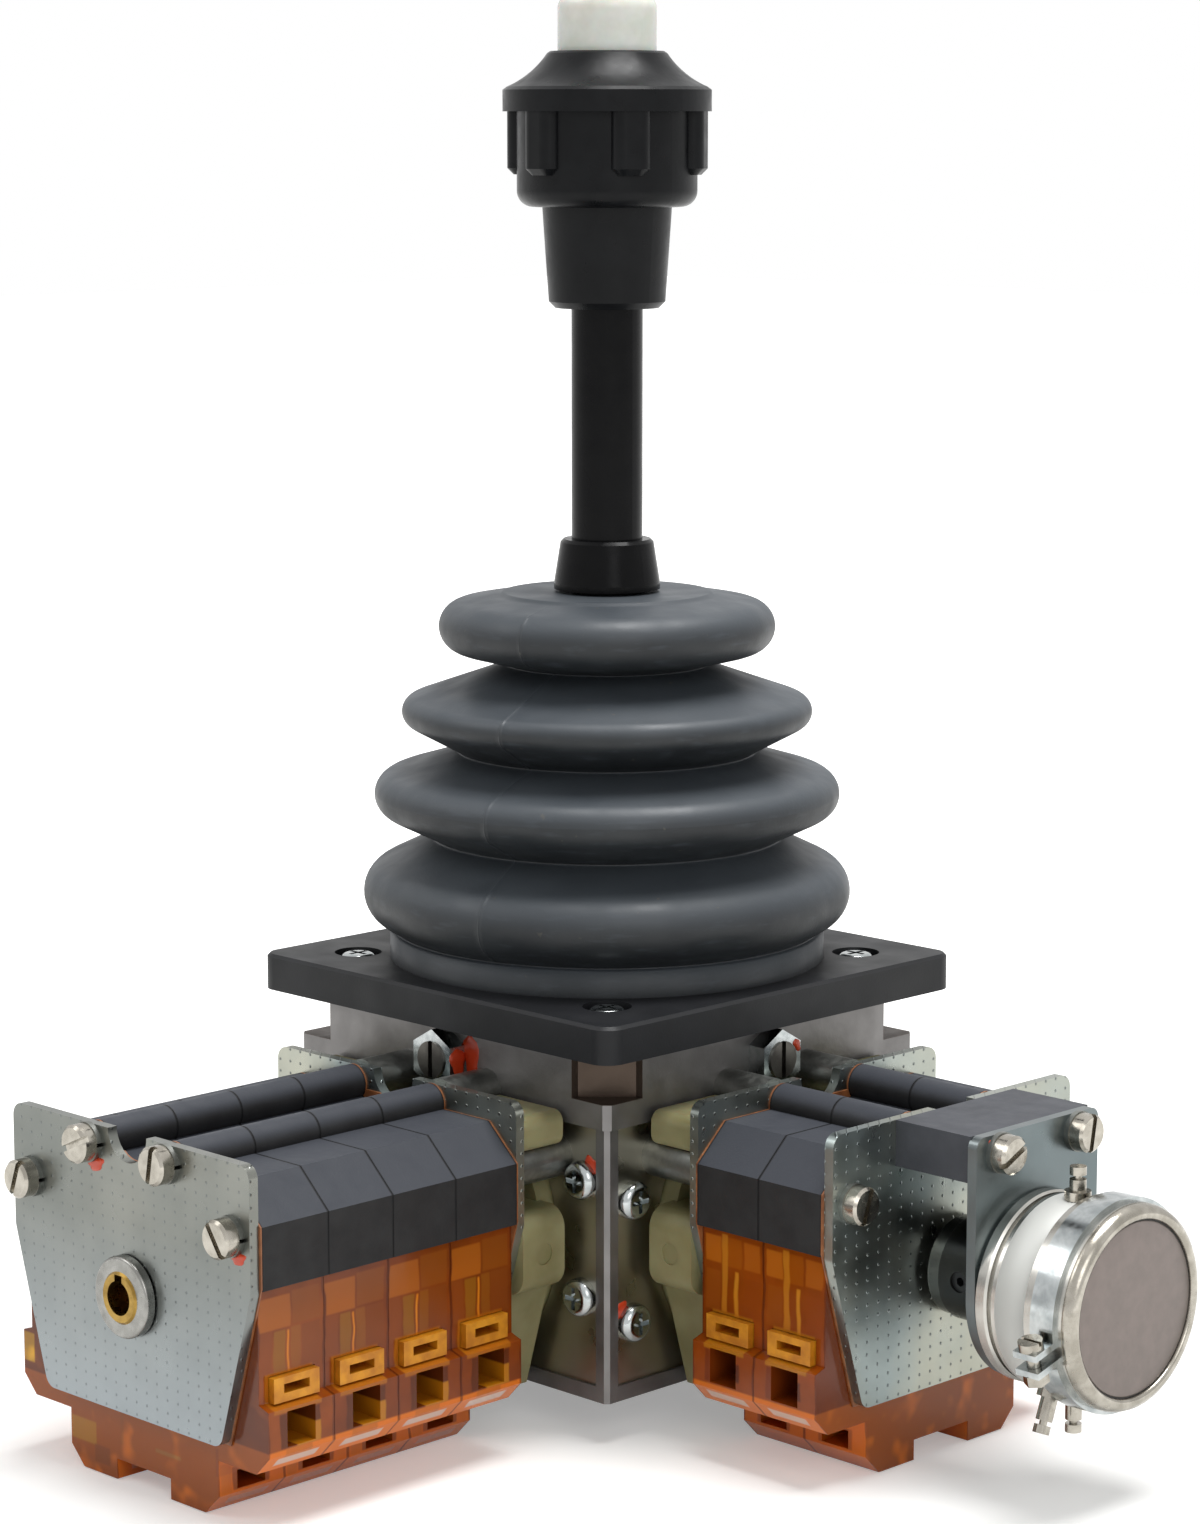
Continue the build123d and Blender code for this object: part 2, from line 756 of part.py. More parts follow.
# Tie screws, lock washers and spacer tubes
def slotted_screw(inner_end, seat, x, z, slot_turn):
    head_start = seat + washer_thickness
    head_end = head_start + tie_head_height
    head = outward(tie_head_radius, head_start, head_end)
    head = chamfer(head.edges().group_by(Axis.Y)[0], 0.5)
    cut = cuboid((-slot_width / 2, -head_end - 1, -tie_head_radius - 1),
                 (slot_width / 2, -head_end + slot_depth, tie_head_radius + 1))
    head -= Rot(0, slot_turn, 0) * cut
    return Pos(x, 0, z) * (head + outward(tie_radius, inner_end, head_start))


def lock_washer(seat, x, z):
    ring = outward(washer_radius, seat, seat + washer_thickness, x, z)
    ring -= outward(tie_radius + tie_gap, seat - 1, seat + 2, x, z)
    cut = cuboid((x, -seat - 2, z - 0.35), (x + washer_radius + 1, -seat + 1, z + 0.35))
    return ring - cut


def outer_face(count):
    return stack_start + 2 * sheet_thickness + element_pitch * count + end_plate_thickness


def bracket_face():
    return outer_face(short_count) + spacer_block_length + end_plate_thickness


def tie_list(count):
    """Inner end, seat, place and slot angle of each tie screw of a stack."""
    side_end = face_plane() - face_thickness - tie_engagement
    ridge_end = block_size / 2 - tie_engagement
    seats = [outer_face(count), outer_face(count) if count == long_count else bracket_face()]
    turns = [20, -35, 65, 10]
    ends = [side_end, side_end, ridge_end, ridge_end]
    return [(ends[i], seats[i // 2], x, z, turns[i]) for i, (x, z) in enumerate(tie_places())]


def make_tie_screws(count):
    return grouped(slotted_screw(*row) for row in tie_list(count))


def make_lock_washers():
    front = [lock_washer(seat, x, z) for _, seat, x, z, _ in tie_list(long_count)]
    right = [to_right(lock_washer(seat, x, z)) for _, seat, x, z, _ in tie_list(short_count)]
    return grouped(front + right)


def make_spacer_tubes():
    tubes = []
    end = stack_start - end_plate_thickness
    for x, z in tie_places():
        start = face_plane() if abs(x) == tie_side_offset else block_size / 2
        tube = outward(spacer_radius, start, end, x, z)
        tube -= outward(tie_radius + tie_gap, start - 1, end + 1, x, z)
        tubes += [tube, to_right(tube)]
    return grouped(tubes)


# Potentiometer drive, in its front place before it is turned to the right
def make_coupling():
    start = coupling_start
    end = start + coupling_length
    body = outward(coupling_radius - 0.4, start, start + coupling_step)
    body += outward(coupling_radius, start + coupling_step, end)
    body -= outward(shaft_radius, start - 1, start + coupling_length * 0.55)
    body -= outward(pot_shaft_radius, start, end + 1)
    grub = Pos(0, -grub_place(), 0) * Rot(0, -90, 0) * upright(grub_radius, shaft_radius, coupling_radius + 2)
    return Pos(0, 0, shaft_height) * (body - grub)


def grub_place():
    return coupling_start + coupling_step + (coupling_length - coupling_step) * 0.45


def make_grub():
    grub = upright(grub_radius, shaft_radius, coupling_radius - 0.6)
    socket = extrude(RegularPolygon(0.9, 6), 2.5)
    grub -= Pos(0, 0, coupling_radius - 2.2) * socket
    return Pos(0, -grub_place(), shaft_height) * Rot(0, -90, 0) * grub


def make_spacer_block():
    start = outer_face(short_count)
    block = slab([(spacer_block_half, end_plate_top), (spacer_block_half, spacer_block_bottom),
                  (-spacer_block_half, spacer_block_bottom), (-spacer_block_half, end_plate_top)],
                 start, start + spacer_block_length)
    for side in (-1, 1):
        block -= outward(tie_radius + tie_gap, start - 1, start + spacer_block_length + 1,
                         side * ridge_offset, ridge_height)
    return block


def make_bracket():
    start = bracket_face() - end_plate_thickness
    plate = slab([(bracket_half, end_plate_top), (bracket_half, shaft_height), (-bracket_half, shaft_height),
                  (-bracket_half, end_plate_top)], start, bracket_face())
    plate = fillet(plate.edges().filter_by(Axis.Y).group_by(Axis.Z)[-1], 2.0)
    plate += outward(bracket_foot_radius, start, bracket_face(), 0, shaft_height)
    plate -= outward(pot_shaft_radius + 1.5, start - 1, bracket_face() + 1, 0, shaft_height)
    for side in (-1, 1):
        plate -= outward(tie_radius + tie_gap, start - 1, bracket_face() + 1, side * ridge_offset, ridge_height)
    return plate


def turned_outward(profile, start):
    """A turned piece on the shaft's line from its radius and distance pairs."""
    face = make_face(Polyline(*profile, close=True))
    body = revolve(Plane.XZ * face, Axis.Z)
    return Pos(0, -start, shaft_height) * Rot(90, 0, 0) * body


def make_pot_case():
    a = pot_flange_length
    b = a + pot_groove_length
    c = b + pot_body_length
    d = c + pot_can_length
    hole = pot_shaft_radius + running_gap
    case = turned_outward([
        (hole, 0), (pot_flange_radius - 0.5, 0), (pot_flange_radius, 0.5), (pot_flange_radius, a - 0.4),
        (pot_flange_radius - 0.4, a), (pot_groove_radius, a), (pot_groove_radius, b), (pot_body_radius, b),
        (pot_body_radius, c), (pot_can_radius, c), (pot_can_radius, d), (0, d), (0, pot_hole_depth),
        (hole, pot_hole_depth)], bracket_face())
    return case


def pot_can_end():
    return bracket_face() + pot_flange_length + pot_groove_length + pot_body_length + pot_can_length


def make_pot_cover():
    r = pot_can_radius
    cover = turned_outward([(0, 0), (r, 0), (r, pot_cover_length), (0, pot_cover_length)], pot_can_end())
    return fillet(cover.edges().group_by(Axis.Y)[0], pot_cover_round)


def make_pot_shaft():
    start = coupling_start + coupling_length * 0.55
    return outward(pot_shaft_radius, start, bracket_face() + pot_hole_depth - clear_gap, 0, shaft_height)


def band_middle():
    return pot_can_end() - 1.2 - band_width / 2


def make_band():
    start = band_middle() - band_width / 2
    end = start + band_width
    band = outward(pot_can_radius + band_thickness, start, end)
    gap_half = band_lug_gap / 2
    lug_top = pot_can_radius + band_lug
    lugs = cuboid((-gap_half - band_lug_thickness, -end, pot_can_radius - 1),
                  (gap_half + band_lug_thickness, -start, lug_top))
    band += lugs
    band -= cuboid((-gap_half, -end - 1, pot_can_radius - 2), (gap_half, -start + 1, lug_top + 1))
    band -= outward(pot_can_radius, start - 1, end + 1)
    hole = Pos(0, -band_middle(), pot_can_radius + band_lug * 0.62) * Rot(0, 90, 0)
    band -= hole * Cylinder(band_screw_radius + 0.1, 2 * (band_lug_gap + band_lug_thickness + 1))
    return Pos(0, 0, shaft_height) * Rot(0, band_turn, 0) * band


def make_band_screw():
    reach = band_lug_gap / 2 + band_lug_thickness
    screw = upright(band_screw_radius, -reach - 2.4, reach)
    screw += upright(band_screw_head, reach, reach + 1.6)
    nut = Pos(0, 0, -reach - 2.0) * extrude(RegularPolygon(2.3, 6), 2.0)
    screw += nut
    screw -= cuboid((-0.3, -3, reach + 0.9), (0.3, 3, reach + 2))
    place = Pos(0, -band_middle(), pot_can_radius + band_lug * 0.62) * Rot(0, 90, 0)
    return Pos(0, 0, shaft_height) * Rot(0, band_turn, 0) * place * screw


def make_turret(turn, height):
    """A brass turret terminal standing on the potentiometer's body."""
    seat = pot_body_radius
    post = upright(turret_radius + turret_foot, seat, seat + turret_foot_height)
    post += upright(turret_radius, seat + turret_foot_height, seat + height)
    waist = upright(2 * turret_radius, -turret_groove / 2, turret_groove / 2)
    waist -= upright(turret_radius - turret_groove, -turret_groove, turret_groove)
    post -= Pos(0, 0, seat + height - turret_collar) * waist
    place = bracket_face() + pot_flange_length + pot_groove_length + pot_body_length * 0.62
    return Pos(0, -place, shaft_height) * Rot(0, turn, 0) * post


def make_turrets():
    return grouped(to_right(make_turret(turn, height)) for turn, height in turrets)


# End of the long shaft
def end_bush_start():
    return outer_face(long_count) - end_bush_seat


def make_end_bush():
    """The brass end of the shaft with a keyed bore for a second transducer."""
    end = shaft_end_long()
    bush = outward(end_bush_radius, end_bush_start(), end)
    bush += outward(end_bush_spigot, end_bush_start() - end_bush_spigot_length, end_bush_start() + 0.5)
    bush = chamfer(bush.edges().group_by(Axis.Y)[0], 0.4)
    bush -= outward(key_bore, end - key_bore_depth, end + 1)
    bush -= cuboid((-key_width / 2, -end - 1, 0), (key_width / 2, -end + key_bore_depth, key_bore + key_depth))
    return Pos(0, 0, shaft_height) * bush


def make_shaft_collar():
    start = outer_face(long_count) + collar_seat_gap
    ring = outward(collar_ring_radius, start, start + collar_ring_length, 0, shaft_height)
    ring = fillet(ring.edges().group_by(Axis.Y)[0], 0.6)
    return ring - outward(end_bush_radius, start - 1, start + collar_ring_length + 1, 0, shaft_height)


# Lever, grip and button
def make_lever_rod():
    hub = Box(hub_width, hub_width, hub_height)
    hub = fillet(hub.edges().filter_by(Axis.Z), 2.0)
    hub -= Rot(90, 0, 0) * Cylinder(pin_radius, hub_width + 2)
    rod = upright(rod_radius, hub_height / 2 - 0.5, rod_top - shaft_height)
    tail = upright(tail_radius, -tail_length, -hub_height / 2 + 0.5)
    return Pos(0, 0, shaft_height) * (hub + rod + tail)


def make_cross_pin():
    return Pos(0, 0, shaft_height) * Rot(90, 0, 0) * Cylinder(pin_radius, yoke_width - 0.4)


def make_rod_collar():
    return revolved([(rod_radius, collar_bottom), (collar_bottom_radius, collar_bottom),
                     (collar_bottom_radius, collar_bottom + 1.2), (collar_top_radius, collar_top - 0.6),
                     (collar_top_radius - 0.6, collar_top), (rod_radius, collar_top)])


def rim_middle():
    """Height at which the cap sits on the grip's body."""
    return (rim_bottom + rim_top) / 2


def make_grip():
    """The turned body of the grip with its moulded finger ribs."""
    room_radius = button_radius + button_flange + clear_gap
    body = revolved([
        (rod_radius, skirt_bottom), (skirt_bottom_radius - 1.2, skirt_bottom),
        (skirt_bottom_radius, skirt_bottom + 1.2), (skirt_top_radius, grip_bottom),
        (grip_radius, grip_bottom), (grip_radius, rim_bottom), (rim_radius, rim_bottom),
        (rim_radius, rim_middle()), (room_radius, rim_middle()), (room_radius, rod_top), (rod_radius, rod_top)])
    base = body.edges().filter_by(GeomType.CIRCLE).filter_by(lambda edge: abs(edge.radius - grip_radius) < 0.01)
    body = fillet(base.sort_by(Axis.Z)[0], grip_base_round)
    rib = cuboid((grip_radius - 3, -grip_rib_width / 2, rib_bottom), (grip_rib_radius, grip_rib_width / 2, rim_bottom))
    rib = fillet(rib.edges().filter_by(Axis.Z).group_by(Axis.X)[-1], grip_rib_round)
    rib = chamfer(rib.edges().group_by(Axis.Z)[0].group_by(Axis.X)[-1], grip_rib_round / 2)
    for turn in range(grip_rib_count):
        body += Rot(0, 0, 360 / grip_rib_count * turn + grip_rib_turn) * rib
    return body


def make_grip_cap():
    """The dished ring that guides the button."""
    bore = button_radius + clear_gap
    pocket = button_radius + button_flange + clear_gap
    edge = (rim_radius - 0.8, rim_top)
    lip = (bore + cap_lip, cap_top - 0.4)
    bulge = ((edge[0] + lip[0]) / 2, rim_top + cap_bulge)
    corners = [lip, (lip[0] - 0.6, cap_top), (bore, cap_top), (bore, rim_top + cap_shelf),
               (pocket, rim_top + cap_shelf), (pocket, rim_middle()), (rim_radius, rim_middle()),
               (rim_radius, rim_top - 0.6), edge]
    profile = Curve() + [ThreePointArc(edge, bulge, lip), Polyline(*corners)]
    return revolve(Plane.XZ * make_face(profile), Axis.Z)


def make_button():
    """A domed push button with the flange that holds it under the cap."""
    low = rod_top + spring_wire * 2 + button_travel + 0.6
    rim = rim_top + cap_shelf - clear_gap
    inner = spring_radius + spring_wire + clear_gap
    button = revolved([
        (0, rim), (inner, rim), (inner, low), (button_radius + button_flange, low),
        (button_radius + button_flange, rim), (button_radius, rim), (button_radius, button_top), (0, button_top)])
    button = fillet(button.edges().group_by(Axis.Z)[-1], button_round)
    return button & Pos(0, 0, button_top - button_dome) * Sphere(button_dome)


def make_button_spring():
    low = rod_top + spring_wire
    high = rim_top + cap_shelf - clear_gap - spring_wire
    path = Helix(pitch=(high - low) / spring_coils, height=high - low, radius=spring_radius)
    wire = Plane(origin=path @ 0, z_dir=path % 0) * Circle(spring_wire)
    return Pos(0, 0, low) * sweep(wire, path=path)


nodes["mounting_plate"] = make_mounting_plate()
nodes["plate_screws"] = make_plate_screws()
nodes["upper_housing"] = make_upper_housing()
nodes["lower_housing"] = make_lower_housing()
nodes["face_plate_front"] = make_face_plate(face_screw_insets)
nodes["face_plate_right"] = to_right(make_face_plate(side_screw_insets))
nodes["face_screws"] = make_face_screws()
nodes["stop_screws"] = four_sides(make_stop_screw())
nodes["stop_nuts"] = four_sides(make_stop_nut())
nodes["bellows"] = make_bellows()
nodes["bearing_carrier_front"] = make_carrier()
nodes["bearing_carrier_right"] = to_right(make_carrier())
nodes["shaft_bushes"] = make_bushes()
nodes["return_spring_front"] = make_return_spring()
nodes["return_spring_right"] = to_right(make_return_spring())

long_end = stack_start + 2 * sheet_thickness + element_pitch * long_count
short_end = stack_start + 2 * sheet_thickness + element_pitch * short_count
shaft_hole = shaft_radius + shaft_hole_gap
nodes["inner_plate_front"] = make_end_plate(stack_start - end_plate_thickness, shaft_hole)
nodes["inner_plate_right"] = to_right(make_end_plate(stack_start - end_plate_thickness, shaft_hole))
nodes["outer_plate_front"] = make_end_plate(long_end, shaft_hole)
nodes["outer_plate_right"] = to_right(make_end_plate(short_end, shaft_hole))
nodes["insulating_sheets"] = grouped([
    make_sheet(stack_start), make_sheet(long_end - sheet_thickness),
    to_right(make_sheet(stack_start)), to_right(make_sheet(short_end - sheet_thickness))])
for i in range(long_count):
    nodes[f"contact_top_front_{i + 1}"] = make_contact_top(i)
    nodes[f"contact_base_front_{i + 1}"] = make_contact_base(i)
for i in range(short_count):
    nodes[f"contact_top_right_{i + 1}"] = to_right(make_contact_top(i))
    nodes[f"contact_base_right_{i + 1}"] = to_right(make_contact_base(i))
nodes["contact_terminals"] = make_terminals()
nodes["tie_screws_front"] = make_tie_screws(long_count)
nodes["tie_screws_right"] = to_right(make_tie_screws(short_count))
nodes["lock_washers"] = make_lock_washers()
nodes["spacer_tubes"] = make_spacer_tubes()

nodes["spacer_block"] = to_right(make_spacer_block())
nodes["pot_bracket"] = to_right(make_bracket())
nodes["pot_case"] = to_right(make_pot_case())
nodes["pot_cover"] = to_right(make_pot_cover())
nodes["pot_clamp_band"] = to_right(make_band())
nodes["pot_clamp_screw"] = to_right(make_band_screw())
nodes["pot_terminals"] = make_turrets()

nodes["shaft_x"] = make_shaft_x()
nodes["cams_x"] = to_right(make_cams(short_count))
nodes["shaft_coupling"] = to_right(make_coupling())
nodes["coupling_screw"] = to_right(make_grub())
nodes["pot_shaft"] = to_right(make_pot_shaft())
nodes["shaft_y"] = make_shaft_y()
nodes["cams_y"] = make_cams(long_count)
nodes["shaft_collar"] = make_shaft_collar()
nodes["shaft_end_bush"] = make_end_bush()

nodes["lever_rod"] = make_lever_rod()
nodes["cross_pin"] = make_cross_pin()
nodes["rod_collar"] = make_rod_collar()
nodes["grip"] = make_grip()
nodes["grip_cap"] = make_grip_cap()
nodes["button"] = make_button()
nodes["button_spring"] = make_button_spring()

os.makedirs("parts", exist_ok=True)
for name, piece in nodes.items():
    export_step(piece, f"parts/{name}.step")
print(len(nodes), "nodes written")
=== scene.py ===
# %% [markdown]
# A two-axis joystick for panel mounting, dressed in Blender. Each step below first says what a
# piece or a finish is on the real object, then makes it. The part's sizes are in millimetres,
# and one value turns them into Blender's metres.

# %% Load the frame
import math

import bpy
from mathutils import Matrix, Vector


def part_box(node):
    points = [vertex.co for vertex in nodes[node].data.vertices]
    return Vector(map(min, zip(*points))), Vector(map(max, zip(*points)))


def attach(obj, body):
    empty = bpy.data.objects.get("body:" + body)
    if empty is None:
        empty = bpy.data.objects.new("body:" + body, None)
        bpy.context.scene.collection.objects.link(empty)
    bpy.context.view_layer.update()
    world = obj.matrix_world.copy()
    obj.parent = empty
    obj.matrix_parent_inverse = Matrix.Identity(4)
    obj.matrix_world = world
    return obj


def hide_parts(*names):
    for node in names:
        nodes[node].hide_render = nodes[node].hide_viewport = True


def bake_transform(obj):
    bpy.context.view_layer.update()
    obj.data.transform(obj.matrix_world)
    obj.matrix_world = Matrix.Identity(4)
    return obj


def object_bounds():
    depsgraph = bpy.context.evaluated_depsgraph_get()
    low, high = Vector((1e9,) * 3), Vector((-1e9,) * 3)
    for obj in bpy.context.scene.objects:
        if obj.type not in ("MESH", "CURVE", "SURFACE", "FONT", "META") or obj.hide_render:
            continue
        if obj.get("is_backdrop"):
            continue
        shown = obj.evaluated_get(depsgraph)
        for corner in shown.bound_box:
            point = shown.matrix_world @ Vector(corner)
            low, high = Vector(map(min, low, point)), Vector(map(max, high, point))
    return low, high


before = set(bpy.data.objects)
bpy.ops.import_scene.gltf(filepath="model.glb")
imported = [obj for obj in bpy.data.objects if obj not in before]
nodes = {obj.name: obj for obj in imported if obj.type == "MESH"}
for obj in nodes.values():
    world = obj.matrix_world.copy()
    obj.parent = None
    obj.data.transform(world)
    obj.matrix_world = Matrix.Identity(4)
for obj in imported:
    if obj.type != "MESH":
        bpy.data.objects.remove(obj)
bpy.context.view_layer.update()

# %% [markdown]
# Blender works in metres, but a maker thinks of this part in millimetres.
# A small converter keeps every number below readable as a real size.

# %% Millimetres
MM = 0.001


def box_mm(node):
    """Lowest and highest corner of a CAD piece, in millimetres."""
    low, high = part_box(node)
    return [value / MM for value in low], [value / MM for value in high]


plate_low, plate_high = box_mm("mounting_plate")
print("mounting plate", [round(b - a, 1) for a, b in zip(plate_low, plate_high)], "mm")

# %% [markdown]
# Colours are written as the eye sees them, as hex values, but a renderer adds light in linear
# numbers. One function turns a hex colour into linear red, green, blue and alpha, so no colour is
# converted by hand.

# %% Colours


def linear(hex_colour):
    """A hex colour as four linear numbers."""
    channels = [int(hex_colour[i:i + 2], 16) / 255 for i in (1, 3, 5)]
    bent = [c / 12.92 if c <= 0.04045 else ((c + 0.055) / 1.055) ** 2.4 for c in channels]
    return (*bent, 1.0)


print("mid grey", [round(c, 3) for c in linear("#808080")])

# %% [markdown]
# A material is a small graph of nodes. Every material here is built with the same two helpers:
# one adds a node with its settings and links, the other starts a material from its main shader
# numbers. Plain numbers go straight onto the shader's own sockets, because an exporter reads them
# there.

# %% Nodes and materials


def add_node(tree, kind, inputs=None, **settings):
    """Adds a node, sets its options, and fills its inputs with values or other nodes' outputs."""
    node = tree.nodes.new(kind)
    for option, value in settings.items():
        setattr(node, option, value)
    for socket, value in (inputs or {}).items():
        if isinstance(value, bpy.types.NodeSocket):
            tree.links.new(value, node.inputs[socket])
        else:
            node.inputs[socket].default_value = value
    return node


def start_material(name, colour, roughness, **sockets):
    """A material with one Principled shader; sockets are named with underscores for spaces."""
    material = bpy.data.materials.new(name)
    material.use_nodes = True
    tree = material.node_tree
    shader = tree.nodes["Principled BSDF"]
    shader.inputs["Base Color"].default_value = linear(colour)
    shader.inputs["Roughness"].default_value = roughness
    for socket, value in sockets.items():
        shader.inputs[socket.replace("_", " ")].default_value = value
    return material, tree, shader


print("node and material helpers ready")

# %% [markdown]
# Real surfaces are never one flat colour. Four habits of real finishes come back below, so each is
# a helper: tints that drift, shine that wanders, fine relief, and one colour laid over another.
# A fifth helper finds the faces that look up, which some finishes paint lighter. A Mix node that
# mixes colours has its two colours on sockets 6 and 7 and its result on output 2.

# %% Surface helpers
MIX_BELOW, MIX_ABOVE, MIX_RESULT = 6, 7, 2
TINT_LOW, TINT_HIGH = 0.35, 0.65
SHINE_LOW, SHINE_HIGH = 0.3, 0.7


def cloudy_colour(tree, shader, first, second, size):
    """Two tints that drift into each other over patches of a real size."""
    place = add_node(tree, "ShaderNodeTexCoord").outputs["Object"]
    noise = add_node(tree, "ShaderNodeTexNoise",
                     {"Vector": place, "Scale": 1 / (size * MM), "Detail": 3.0})
    share = add_node(tree, "ShaderNodeMapRange",
                     {"Value": noise.outputs["Fac"], "From Min": TINT_LOW, "From Max": TINT_HIGH})
    tint = add_node(tree, "ShaderNodeMix",
                    {"Factor": share.outputs["Result"], MIX_BELOW: linear(first),
                     MIX_ABOVE: linear(second)}, data_type="RGBA")
    tree.links.new(tint.outputs[MIX_RESULT], shader.inputs["Base Color"])
    return place, tint.outputs[MIX_RESULT]


def uneven_roughness(tree, shader, place, size, low, high):
    """Roughness that wanders between two values, as handling and casting leave it."""
    noise = add_node(tree, "ShaderNodeTexNoise",
                     {"Vector": place, "Scale": 1 / (size * MM), "Detail": 2.0})
    spread = add_node(tree, "ShaderNodeMapRange",
                      {"Value": noise.outputs["Fac"], "From Min": SHINE_LOW,
                       "From Max": SHINE_HIGH, "To Min": low, "To Max": high})
    tree.links.new(spread.outputs["Result"], shader.inputs["Roughness"])


def grain_bump(tree, shader, place, size, height):
    """Fine relief of a real grain size and a real height."""
    noise = add_node(tree, "ShaderNodeTexNoise",
                     {"Vector": place, "Scale": 1 / (size * MM), "Detail": 4.0})
    bump = add_node(tree, "ShaderNodeBump",
                    {"Height": noise.outputs["Fac"], "Distance": height * MM, "Strength": 1.0})
    tree.links.new(bump.outputs["Normal"], shader.inputs["Normal"])
    return bump.outputs["Normal"]


def paint(tree, below, mask, colour, strength=1.0):
    """Lays one more colour over what is below, where the mask is one."""
    share = add_node(tree, "ShaderNodeMath", {0: mask, 1: strength}, operation="MULTIPLY")
    over = add_node(tree, "ShaderNodeMix",
                    {"Factor": share.outputs[0], MIX_BELOW: below, MIX_ABOVE: linear(colour)},
                    data_type="RGBA")
    return over.outputs[MIX_RESULT]


def facing_up(tree, low, high):
    """Zero on walls and undersides, one on faces that look up, which are painted lighter."""
    normal = add_node(tree, "ShaderNodeTexCoord").outputs["Normal"]
    apart = add_node(tree, "ShaderNodeSeparateXYZ", {"Vector": normal})
    up = add_node(tree, "ShaderNodeMapRange",
                  {"Value": apart.outputs["Z"], "From Min": low, "From Max": high},
                  interpolation_type="SMOOTHSTEP")
    return up.outputs["Result"]


print("surface helpers ready")

# %% [markdown]
# Most finishes need nothing more than the first three of those habits, so one recipe makes them.
# Its numbers are the size of the tint patches, then the size and the two ends of the roughness,
# then the size and the height of the relief. Where the gloss is even, shine is None.

# %% Recipe for a plain finish


def plain_finish(name, base, roughness, tints, patch, shine, grain, **sockets):
    """Two tints, uneven shine and fine relief, each at its real size."""
    material, tree, shader = start_material(name, base, roughness, **sockets)
    place, _ = cloudy_colour(tree, shader, *tints, patch)
    if shine:
        uneven_roughness(tree, shader, place, *shine)
    grain_bump(tree, shader, place, *grain)
    return material


print("plain finish recipe ready")

# %% [markdown]
# Powder-coated steel: the square plate is sprayed with dry paint and baked.
# The coat is satin black with a faint orange-peel relief, about half a millimetre from bump to
# bump.

# %% Powder-coated steel
powder_coat = plain_finish("powder_coated_steel", "#121315", 0.5, ("#101113", "#17181b"), 14,
                           (9, 0.42, 0.55), (0.5, 0.02), Specular_IOR_Level=0.26)
print(powder_coat.name)

# %% [markdown]
# Die-cast zinc: the upper block and the case are cast and left bare.
# A cast skin is a dull grey metal with a soft mottled relief and uneven shine. The recess of the
# notch in each upper corner is painted a dark brown, as painted shade under the plate's corner.
# The four notches are alike, so one test on the distance from the middle finds them all.

# %% Die-cast zinc
NOTCH_START = 33.35
NOTCH_FOOT = 9.05


def make_cast_zinc():
    material, tree, shader = start_material("die_cast_zinc", "#6f6b65", 0.42, Metallic=0.9)
    place, tint = cloudy_colour(tree, shader, "#737170", "#7f7d7c", 7)
    folded = add_node(tree, "ShaderNodeVectorMath", {0: place}, operation="ABSOLUTE")
    apart = add_node(tree, "ShaderNodeSeparateXYZ", {"Vector": folded.outputs[0]})
    nearer = add_node(tree, "ShaderNodeMath", {0: apart.outputs["X"], 1: apart.outputs["Y"]},
                      operation="MINIMUM")
    inside = add_node(tree, "ShaderNodeMath", {0: nearer.outputs[0], 1: NOTCH_START * MM},
                      operation="GREATER_THAN")
    level = add_node(tree, "ShaderNodeMath", {0: apart.outputs["Z"], 1: NOTCH_FOOT * MM},
                     operation="LESS_THAN")
    notch_shade = add_node(tree, "ShaderNodeMath", {0: inside.outputs[0], 1: level.outputs[0]},
                       operation="MULTIPLY")
    # Painted shade: the notch recesses, under the plate's corner, are painted a dark brown.
    colour = paint(tree, tint, notch_shade.outputs[0], "#4d423a")
    tree.links.new(colour, shader.inputs["Base Color"])
    uneven_roughness(tree, shader, place, 5, 0.4, 0.52)
    grain_bump(tree, shader, place, 1.1, 0.04)
    return material


cast_zinc = make_cast_zinc()
print(cast_zinc.name)

# %% [markdown]
# Zinc-plated steel sheet: the end plates, the face plates and the bracket are punched from sheet,
# plated and passivated, which leaves a cool grey skin with a faint straw tint.
# The switch stacks' plates are also embossed with a grid of small dots, 2.9 mm apart across and
# 2.3 mm apart in height. The dots are drawn as a shallow relief, each painted a little darker, and
# x and y are added to run along a plate, whichever way it faces. The front plate's dots are worn, so
# it takes less of them, and its lower part is painted lighter and bluer, as a painted reflection of
# the pale floor.

# %% Zinc-plated steel sheet
DOT_ACROSS = 2.9
DOT_APART = 2.3
DOT_RADIUS = 0.36
DOT_FLOOR = 0.3
DOT_DEPTH = 0.12
PAINTED_REFLECTION_TOP = -24.0
PAINTED_REFLECTION_END = -62.0


def dot_mask(tree, place):
    """One inside each embossed dot and zero between them."""
    apart = add_node(tree, "ShaderNodeSeparateXYZ", {"Vector": place})
    along = add_node(tree, "ShaderNodeMath", {0: apart.outputs["X"], 1: apart.outputs["Y"]},
                     operation="ADD")
    offsets = []
    for value, pitch in ((along.outputs[0], DOT_ACROSS), (apart.outputs["Z"], DOT_APART)):
        wrapped = add_node(tree, "ShaderNodeMath", {0: value, 1: pitch * MM},
                           operation="FLOORED_MODULO")
        offset = add_node(tree, "ShaderNodeMath", {0: wrapped.outputs[0], 1: 0.5 * pitch * MM},
                          operation="SUBTRACT")
        offsets.append(offset.outputs[0])
    grid = add_node(tree, "ShaderNodeCombineXYZ", {"X": offsets[0], "Y": offsets[1]})
    reach = add_node(tree, "ShaderNodeVectorMath", {0: grid.outputs[0]}, operation="LENGTH")
    dot = add_node(tree, "ShaderNodeMapRange",
                   {"Value": reach.outputs["Value"], "From Min": DOT_RADIUS * MM,
                    "From Max": DOT_FLOOR * DOT_RADIUS * MM}, interpolation_type="SMOOTHSTEP")
    return dot.outputs["Result"]


